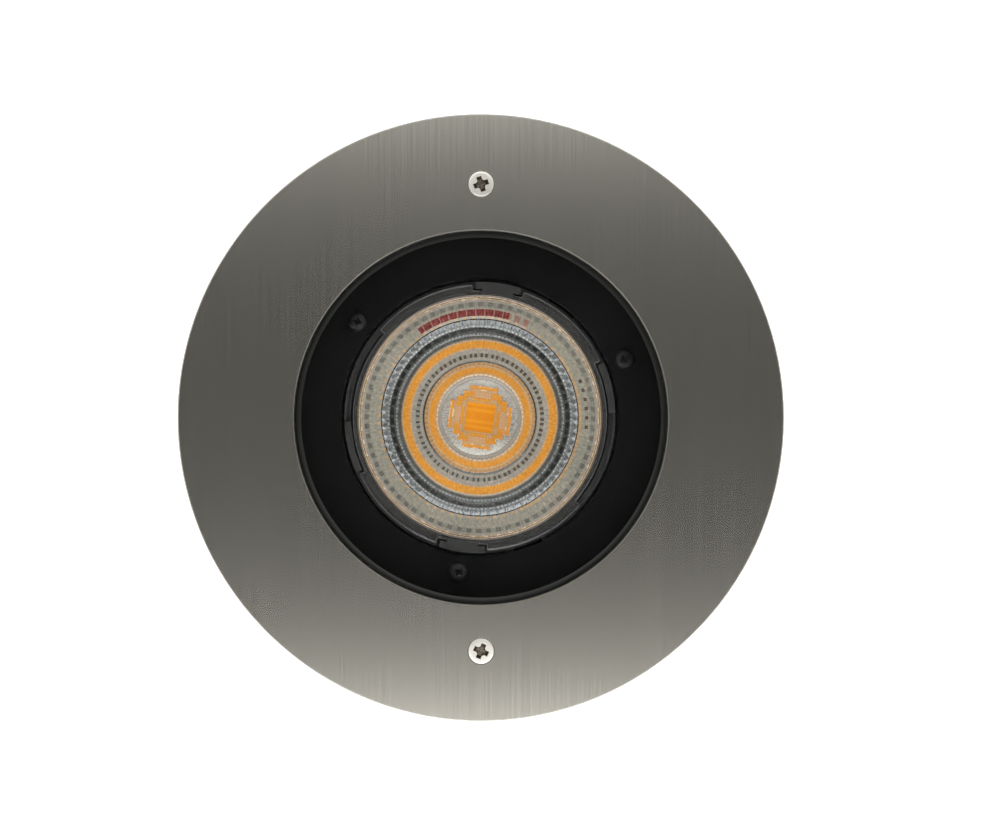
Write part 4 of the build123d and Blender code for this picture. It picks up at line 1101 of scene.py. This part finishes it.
    def scales(self, bm: bmesh.types.BMesh, edges: list[bmesh.types.BMEdge], zone: Zone,
               inner_mm: float) -> list[bmesh.types.BMEdge]:
        """Adds the ring of overlapping domes: painted highlights on their outer corners and lit sides,
        painted shade in their middles.

        Args:
            bm: the mesh.
            edges: the open ring where the domes start.
            zone: their zone.
            inner_mm: the radius where the zone starts.

        Returns:
            The new open ring.
        """
        rows, half_facet = self.scale_rows, self.per_facet / 2
        for row in range(1, rows + 1):
            share = row / rows
            radius = inner_mm + (zone.outer_mm - inner_mm) * share
            edges, faces = self.grow(bm, edges, radius, self.ring_level_mm + zone.rise_mm,
                                     self.number(zone.finish))
            for place, face in enumerate(faces):
                step = place % self.per_facet
                off = math.hypot(2.0 * (row - 0.5) / rows - 1.0, (step + 0.5) / half_facet - 1.0)
                lit = abs(math.sin(angle_of(face.calc_center_median()) + OPTIC_TURN)) > self.lit_scales_from
                # painted highlights on each dome's outer corners and, on the lit sides, across its middle
                # rows; painted shade in its middle elsewhere
                corner = share > self.scale_crest_from and off > self.scale_corner_from
                if corner or lit and row in (3, 4, 5) and step not in (0, 5):
                    face.material_index = self.number(zone.second)
                elif off < self.scale_shade_within and not lit:
                    face.material_index = self.number(LENS_SCALE_SHADE)
            for vert in {vert for edge in edges for vert in edge.verts}:
                across = (angle_of(vert.co) * self.facet_count / FULL_TURN) % 1.0
                reach = (2.0 * share - 1.0) ** 2 + (2.0 * across - 1.0) ** 2
                vert.co.z += math.sqrt(max(1.0 - reach, 0.0)) * zone.relief.rise_mm * MM
        return edges

    def face_and_body(self) -> None:
        """Builds the ringed face, the faceted body and the cavity in one skin."""
        bm = bmesh.new()
        centre = self.centre_radius_mm
        bmesh.ops.create_circle(bm, cap_ends=True, radius=centre * MM, segments=self.segments)
        bmesh.ops.translate(bm, verts=bm.verts, vec=(0, 0, self.ring_level_mm * MM))
        for face in bm.faces:
            face.material_index = self.number(LENS_PALE)
        edges = list(bm.edges)
        carved = []
        inner = centre
        for zone in self.zones:
            if zone.relief is Relief.SCALES:
                edges = self.scales(bm, edges, zone, inner)
            else:
                edges, faces = self.grow(bm, edges, zone.outer_mm, self.ring_level_mm + zone.rise_mm,
                                         self.number(zone.finish))
                if zone.relief is not Relief.PLAIN:
                    carved.append((faces, zone, inner))
            inner = zone.outer_mm
        clear = self.number(LENS_GREY)
        edges, _ = self.grow(bm, edges, self.body_radius_mm, self.flange_bottom_mm, clear)
        for tier in reversed(range(self.body_tiers)):
            share = tier / self.body_tiers
            radius = math.sqrt(self.tip_radius_mm ** 2
                               + (self.body_radius_mm ** 2 - self.tip_radius_mm ** 2) * share)
            level = self.tip_level_mm + (self.flange_bottom_mm - self.tip_level_mm) * share
            edges, _ = self.grow(bm, edges, radius, level, clear)
        edges, _ = self.grow(bm, edges, self.cavity_radius_mm, self.tip_level_mm, clear)
        edges, _ = self.grow(bm, edges, self.cavity_top_radius_mm,
                             self.tip_level_mm + self.cavity_depth_mm, clear)
        bmesh.ops.contextual_create(bm, geom=edges)
        for faces, zone, inner in carved:
            self.carve(bm, faces, zone, inner)
        bmesh.ops.recalc_face_normals(bm, faces=bm.faces)
        turn_about_z(bm, bm.verts, OPTIC_TURN)
        stand_for(finished_object("lens_rings_and_body", bm, self.finishes, sharp_degrees=28.0), "tir_lens")

    def tile_finish(self, x: float, y: float) -> Finish | None:
        """What a tile of the lens centre shows, or nothing outside the stepped outline.

        Args:
            x: place of the tile's middle across, in millimetres.
            y: place of the tile's middle along, in millimetres.

        Returns:
            The tile's finish.
        """
        far, near = max(abs(x), abs(y)), min(abs(x), abs(y))
        # the outline steps in four times, and its outermost tiles glint here and there
        rim = 9.0 < far or (7.2 < far < 7.5 and near > 4.2) or (5.5 < near and far < 7.5) or (
            7.95 < far < 8.3 and near < 2.5)
        glint = math.sin(self.tile_scatter[0] * x + self.tile_scatter[1] * y) > self.tile_glint_from
        if rim and glint and near < 5.8 and (far < 7.5 or near < 4.2):
            return LENS_CREAM
        if far < self.core_reach_mm:
            return LENS_CORE if int((y + 9.0) / self.core_row_mm) % 2 else LENS_CORE_DEEP
        return next((finish for reach, width, finish in self.tile_steps if far < reach and near < width),
                    None)

    def tiles(self) -> None:
        """Builds the stepped tiles over the middle of the lens."""
        lines = [-line for line in reversed(self.tile_lines_mm)] + list(self.tile_lines_mm)
        count = len(lines) - 1
        bm = bmesh.new()
        bmesh.ops.create_grid(bm, x_segments=count, y_segments=count, size=count / 2)
        for vert in bm.verts:
            column, row = round(vert.co.x + count / 2), round(vert.co.y + count / 2)
            vert.co = Vector((lines[column], lines[row], self.ring_level_mm + self.tile_rise_mm)) * MM
        outside = []
        kept = []
        for face in bm.faces:
            middle = face.calc_center_median() / MM
            finish = self.tile_finish(middle.x, middle.y)
            if finish is None:
                outside.append(face)
            else:
                face.material_index = self.number(finish)
                kept.append((face, max(abs(middle.x), abs(middle.y))))
        bmesh.ops.delete(bm, geom=outside, context="FACES")
        for face, far in kept:
            if far > self.core_reach_mm:
                bmesh.ops.inset_individual(bm, faces=[face], thickness=self.tile_margin_mm * MM,
                                           use_even_offset=True,
                                           depth=(self.tile_crown_mm - self.tile_fall * far) * MM)
        rim = [edge for edge in bm.edges if edge.is_boundary]
        skirt = bmesh.ops.extrude_edge_only(bm, edges=rim)["geom"]
        bmesh.ops.translate(bm, verts=corners(skirt), vec=(0, 0, -self.tile_skirt_mm * MM))
        bmesh.ops.contextual_create(bm, geom=[edge for edge in bm.edges if edge.is_boundary])
        bmesh.ops.recalc_face_normals(bm, faces=bm.faces)
        turn_about_z(bm, bm.verts, OPTIC_TURN)
        stand_for(finished_object("lens_centre_tiles", bm, self.finishes, sharp_degrees=20.0), "tir_lens")

    def flange(self) -> None:
        """Builds the clear flange with its four tabs."""
        bm = bmesh.new()
        inner, outer = self.body_radius_mm + self.flange_gap_mm, self.flange_radius_mm
        lathe(bm, [(inner, self.flange_bottom_mm), (outer, self.flange_bottom_mm), (outer, self.face_mm),
                   (inner, self.face_mm), (inner, self.flange_bottom_mm)], self.segments)
        wall = []
        for face in bm.faces:
            middle = face.calc_center_median()
            outermost = middle.xy.length > (outer - self.wall_within_mm) * MM
            if outermost and face.normal.xy.length > self.wall_from:
                degrees = math.degrees(angle_of(middle))
                off = min(abs(degrees - 90.0), abs(degrees - 270.0))
                if self.tab_edges[0] < off < self.tab_edges[1]:
                    wall.append(face)
        pushed = bmesh.ops.extrude_face_region(bm, geom=wall)["geom"]
        reach = self.tab_radius_mm / outer
        bmesh.ops.scale(bm, verts=corners(pushed), vec=(reach, reach, 1.0))
        bmesh.ops.delete(bm, geom=wall, context="FACES_ONLY")
        bmesh.ops.remove_doubles(bm, verts=bm.verts, dist=SEAM_WELD)
        bmesh.ops.recalc_face_normals(bm, faces=bm.faces)
        # the rounded outer edges take a painted highlight
        for face in round_edges(bm, self.flange_edge_mm, segments=2, lowest_degrees=50.0, loop_slide=False):
            if face.calc_center_median().xy.length > (self.body_radius_mm + 0.5) * MM:
                face.material_index = 1
        turn_about_z(bm, bm.verts, OPTIC_TURN)
        stand_for(finished_object("lens_flange", bm, [CLEAR_ACRYLIC, LENS_RIM_HIGHLIGHT]), "tir_lens")

    def build(self) -> None:
        """Builds the three pieces of the lens."""
        self.face_and_body()
        self.tiles()
        self.flange()


class DressedAssembly:
    """Pieces that keep their CAD shape; a width after the finish is that of their rounded edges."""

    looks: ClassVar[dict[str, tuple]]

    def build(self) -> None:
        """Dresses every piece in order."""
        for node, (finish, *edge_mm) in self.looks.items():
            if edge_mm:
                soften(node, finish, *edge_mm)
            else:
                dress(node, finish)


class OpticBase(DressedAssembly):
    """The snap holder, the LED and the leads behind the lens."""

    looks = {
        "optic_holder": (HOLDER_BLACK, 0.15),
        "holder_screws": (BLACK_ZINC,),
        "thermal_pad": (PAD_GREY,),
        "led_board": (CERAMIC,),
        "led_phosphor": (PHOSPHOR_GEL,),
        "led_clamp": (CLAMP_PBT, 0.25),
        "led_clamp_screws": (SCREW_STEEL,),
        "heat_sink": (SINK_ALUMINIUM, 0.2),
        "heat_sink_screws": (SCREW_STEEL,),
        "lead_grommets": (SILICONE,),
        "red_lead": (RED_LEAD,),
        "black_lead": (BLACK_LEAD,),
    }


class Driver(DressedAssembly):
    """The driver and the terminal block on the housing's floor."""

    looks = {
        "driver_case": (DRIVER_WHITE, 0.6),
        "driver_lid": (DRIVER_WHITE, 0.5),
        "driver_board": (SOLDER_MASK,),
        "driver_transformer": (YELLOW_TAPE, 0.8),
        "driver_capacitors": (SHRINK_BLUE, 0.6),
        "driver_screws": (SCREW_STEEL,),
        "terminal_block": (TERMINAL_GREY, 0.4),
        "live_lead": (BROWN_LEAD,),
        "neutral_lead": (BLUE_LEAD,),
    }


class Housing(DressedAssembly):
    """The cast housing with its earthing screw and cable gland."""

    looks = {
        "housing": (POWDER_COAT, 0.7),
        "earth_washer": (BRASS,),
        "earth_screw": (ZINC,),
        "gland_body": (GLAND_BLACK, 0.35),
        "gland_oring": (SILICONE,),
        "gland_locknut": (GLAND_BLACK, 0.35),
        "gland_seal": (SILICONE,),
        "gland_nut": (GLAND_BLACK, 0.35),
    }


class Sleeve(DressedAssembly):
    """The plastic sleeve that is set in the ground, with its brass inserts."""

    looks = {
        "mounting_sleeve": (SLEEVE_BLACK, 0.6),
        "sleeve_inserts": (BRASS,),
    }


# ---------------------------------------------------------------- studio
@dataclass
class Studio:
    """Pale floor, two low soft lamps with a dark card above, and the camera."""

    frame_width_mm: float = 296.3
    frame_centre_mm: tuple[float, float] = (5.6, 1.36)
    camera_aside_mm: float = -88.0
    camera_distance: float = 3.0
    sensor_mm: float = 36.0
    face_level: float = 0.170
    lamp_near: float = 0.113
    lamp_depth: float = 0.8
    lamp_width: float = 1.6
    lamp_level: float = 0.39
    lamp_powers: tuple[float, float] = (7.5, 13.1)
    card_level: float = 1.6
    card_side: float = 3.0
    card_grey: float = 0.03
    floor_radius: float = 40.0
    floor_drop: float = 0.0005
    floor_grey: float = 0.8
    floor_glow: float = 0.62
    sky_light: float = 0.6
    sky_seen: float = 1.0

    def floor(self) -> None:
        """Lays the floor: pale, and white where the camera, gloss or glass sees it."""
        bm = bmesh.new()
        bmesh.ops.create_circle(bm, cap_ends=True, radius=self.floor_radius, segments=96)
        mesh = bpy.data.meshes.new("floor")
        bm.to_mesh(mesh)
        bm.free()
        made = empty_material("studio_floor")
        tree = made.node_tree
        paint = add_node(tree, "ShaderNodeBsdfDiffuse", {"Color": (*[self.floor_grey] * 3, 1.0)})
        level = add_node(tree, "ShaderNodeMath", {"operation": "MULTIPLY", 1: self.floor_glow},
                         {0: seen_directly(tree)})
        glow = add_node(tree, "ShaderNodeEmission", links={"Strength": level.outputs[0]})
        both = add_node(tree, "ShaderNodeAddShader", links={0: paint.outputs[0], 1: glow.outputs[0]})
        add_node(tree, "ShaderNodeOutputMaterial", links={"Surface": both.outputs[0]})
        mesh.materials.append(made)
        laid = link_object("floor", mesh)
        laid.location.z = -self.floor_drop

    def card(self) -> None:
        """Hangs the dark card that polished faces reflect from straight above."""
        bm = bmesh.new()
        bmesh.ops.create_grid(bm, x_segments=1, y_segments=1, size=self.card_side / 2)
        mesh = bpy.data.meshes.new("card")
        bm.to_mesh(mesh)
        bm.free()
        made = bpy.data.materials.new("studio_card")
        made.use_nodes = True
        paint = made.node_tree.nodes["Principled BSDF"].inputs
        paint["Base Color"].default_value = (*[self.card_grey] * 3, 1.0)
        paint["Roughness"].default_value = 1.0
        mesh.materials.append(made)
        hung = link_object("card", mesh)
        hung.location.z = self.card_level
        hung.visible_camera = False

    def lamps(self) -> None:
        """Hangs the two soft lamps and sets the world's plain light."""
        for name, side, power in zip(("lamp_top", "lamp_bottom"), (1.0, -1.0), self.lamp_powers):
            data = bpy.data.lights.new(name, "AREA")
            data.shape, data.size, data.size_y = "RECTANGLE", self.lamp_width, self.lamp_depth
            data.energy = power
            lamp = link_object(name, data)
            lamp.location = (0.0, side * (self.lamp_near + self.lamp_depth / 2), self.lamp_level)
            lamp.visible_camera = False
        world = bpy.data.worlds.new("studio")
        bpy.context.scene.world = world
        world.use_nodes = True
        tree = world.node_tree
        tree.nodes.clear()
        level = add_node(tree, "ShaderNodeMapRange", {3: self.sky_light, 4: self.sky_seen},
                         {0: seen_directly(tree)})
        sky = add_node(tree, "ShaderNodeBackground", links={"Strength": level.outputs[0]})
        add_node(tree, "ShaderNodeOutputWorld", links={"Surface": sky.outputs[0]})

    def camera(self) -> None:
        """Hangs the camera straight above, as the photograph was taken."""
        data = bpy.data.cameras.new("camera")
        data.sensor_width = self.sensor_mm
        data.lens = self.sensor_mm * self.camera_distance / (self.frame_width_mm * MM)
        data.clip_end = 100.0
        eye = link_object("camera", data)
        data.shift_x = self.frame_centre_mm[0] / self.frame_width_mm
        eye.rotation_euler.y = math.atan2(self.camera_aside_mm * MM, self.camera_distance)
        eye.location = (self.camera_aside_mm * MM, self.frame_centre_mm[1] * MM,
                        self.face_level + self.camera_distance)
        bpy.context.scene.camera = eye

    def build(self) -> None:
        """Sets up the whole studio."""
        self.camera()
        self.floor()
        self.card()
        self.lamps()
        bpy.context.scene.view_settings.view_transform = "Standard"


def main() -> None:
    """Builds every sub-assembly in order."""
    logging.basicConfig(level=logging.INFO, format="%(name)s: %(message)s")
    for assembly in (Studio(), TrimAssembly(), Window(), CoverRing(), RingedLens(), OpticBase(), Driver(),
                     Housing(), Sleeve()):
        log.info("building %s", type(assembly).__name__)
        assembly.build()


if __name__ == "__main__":
    main()
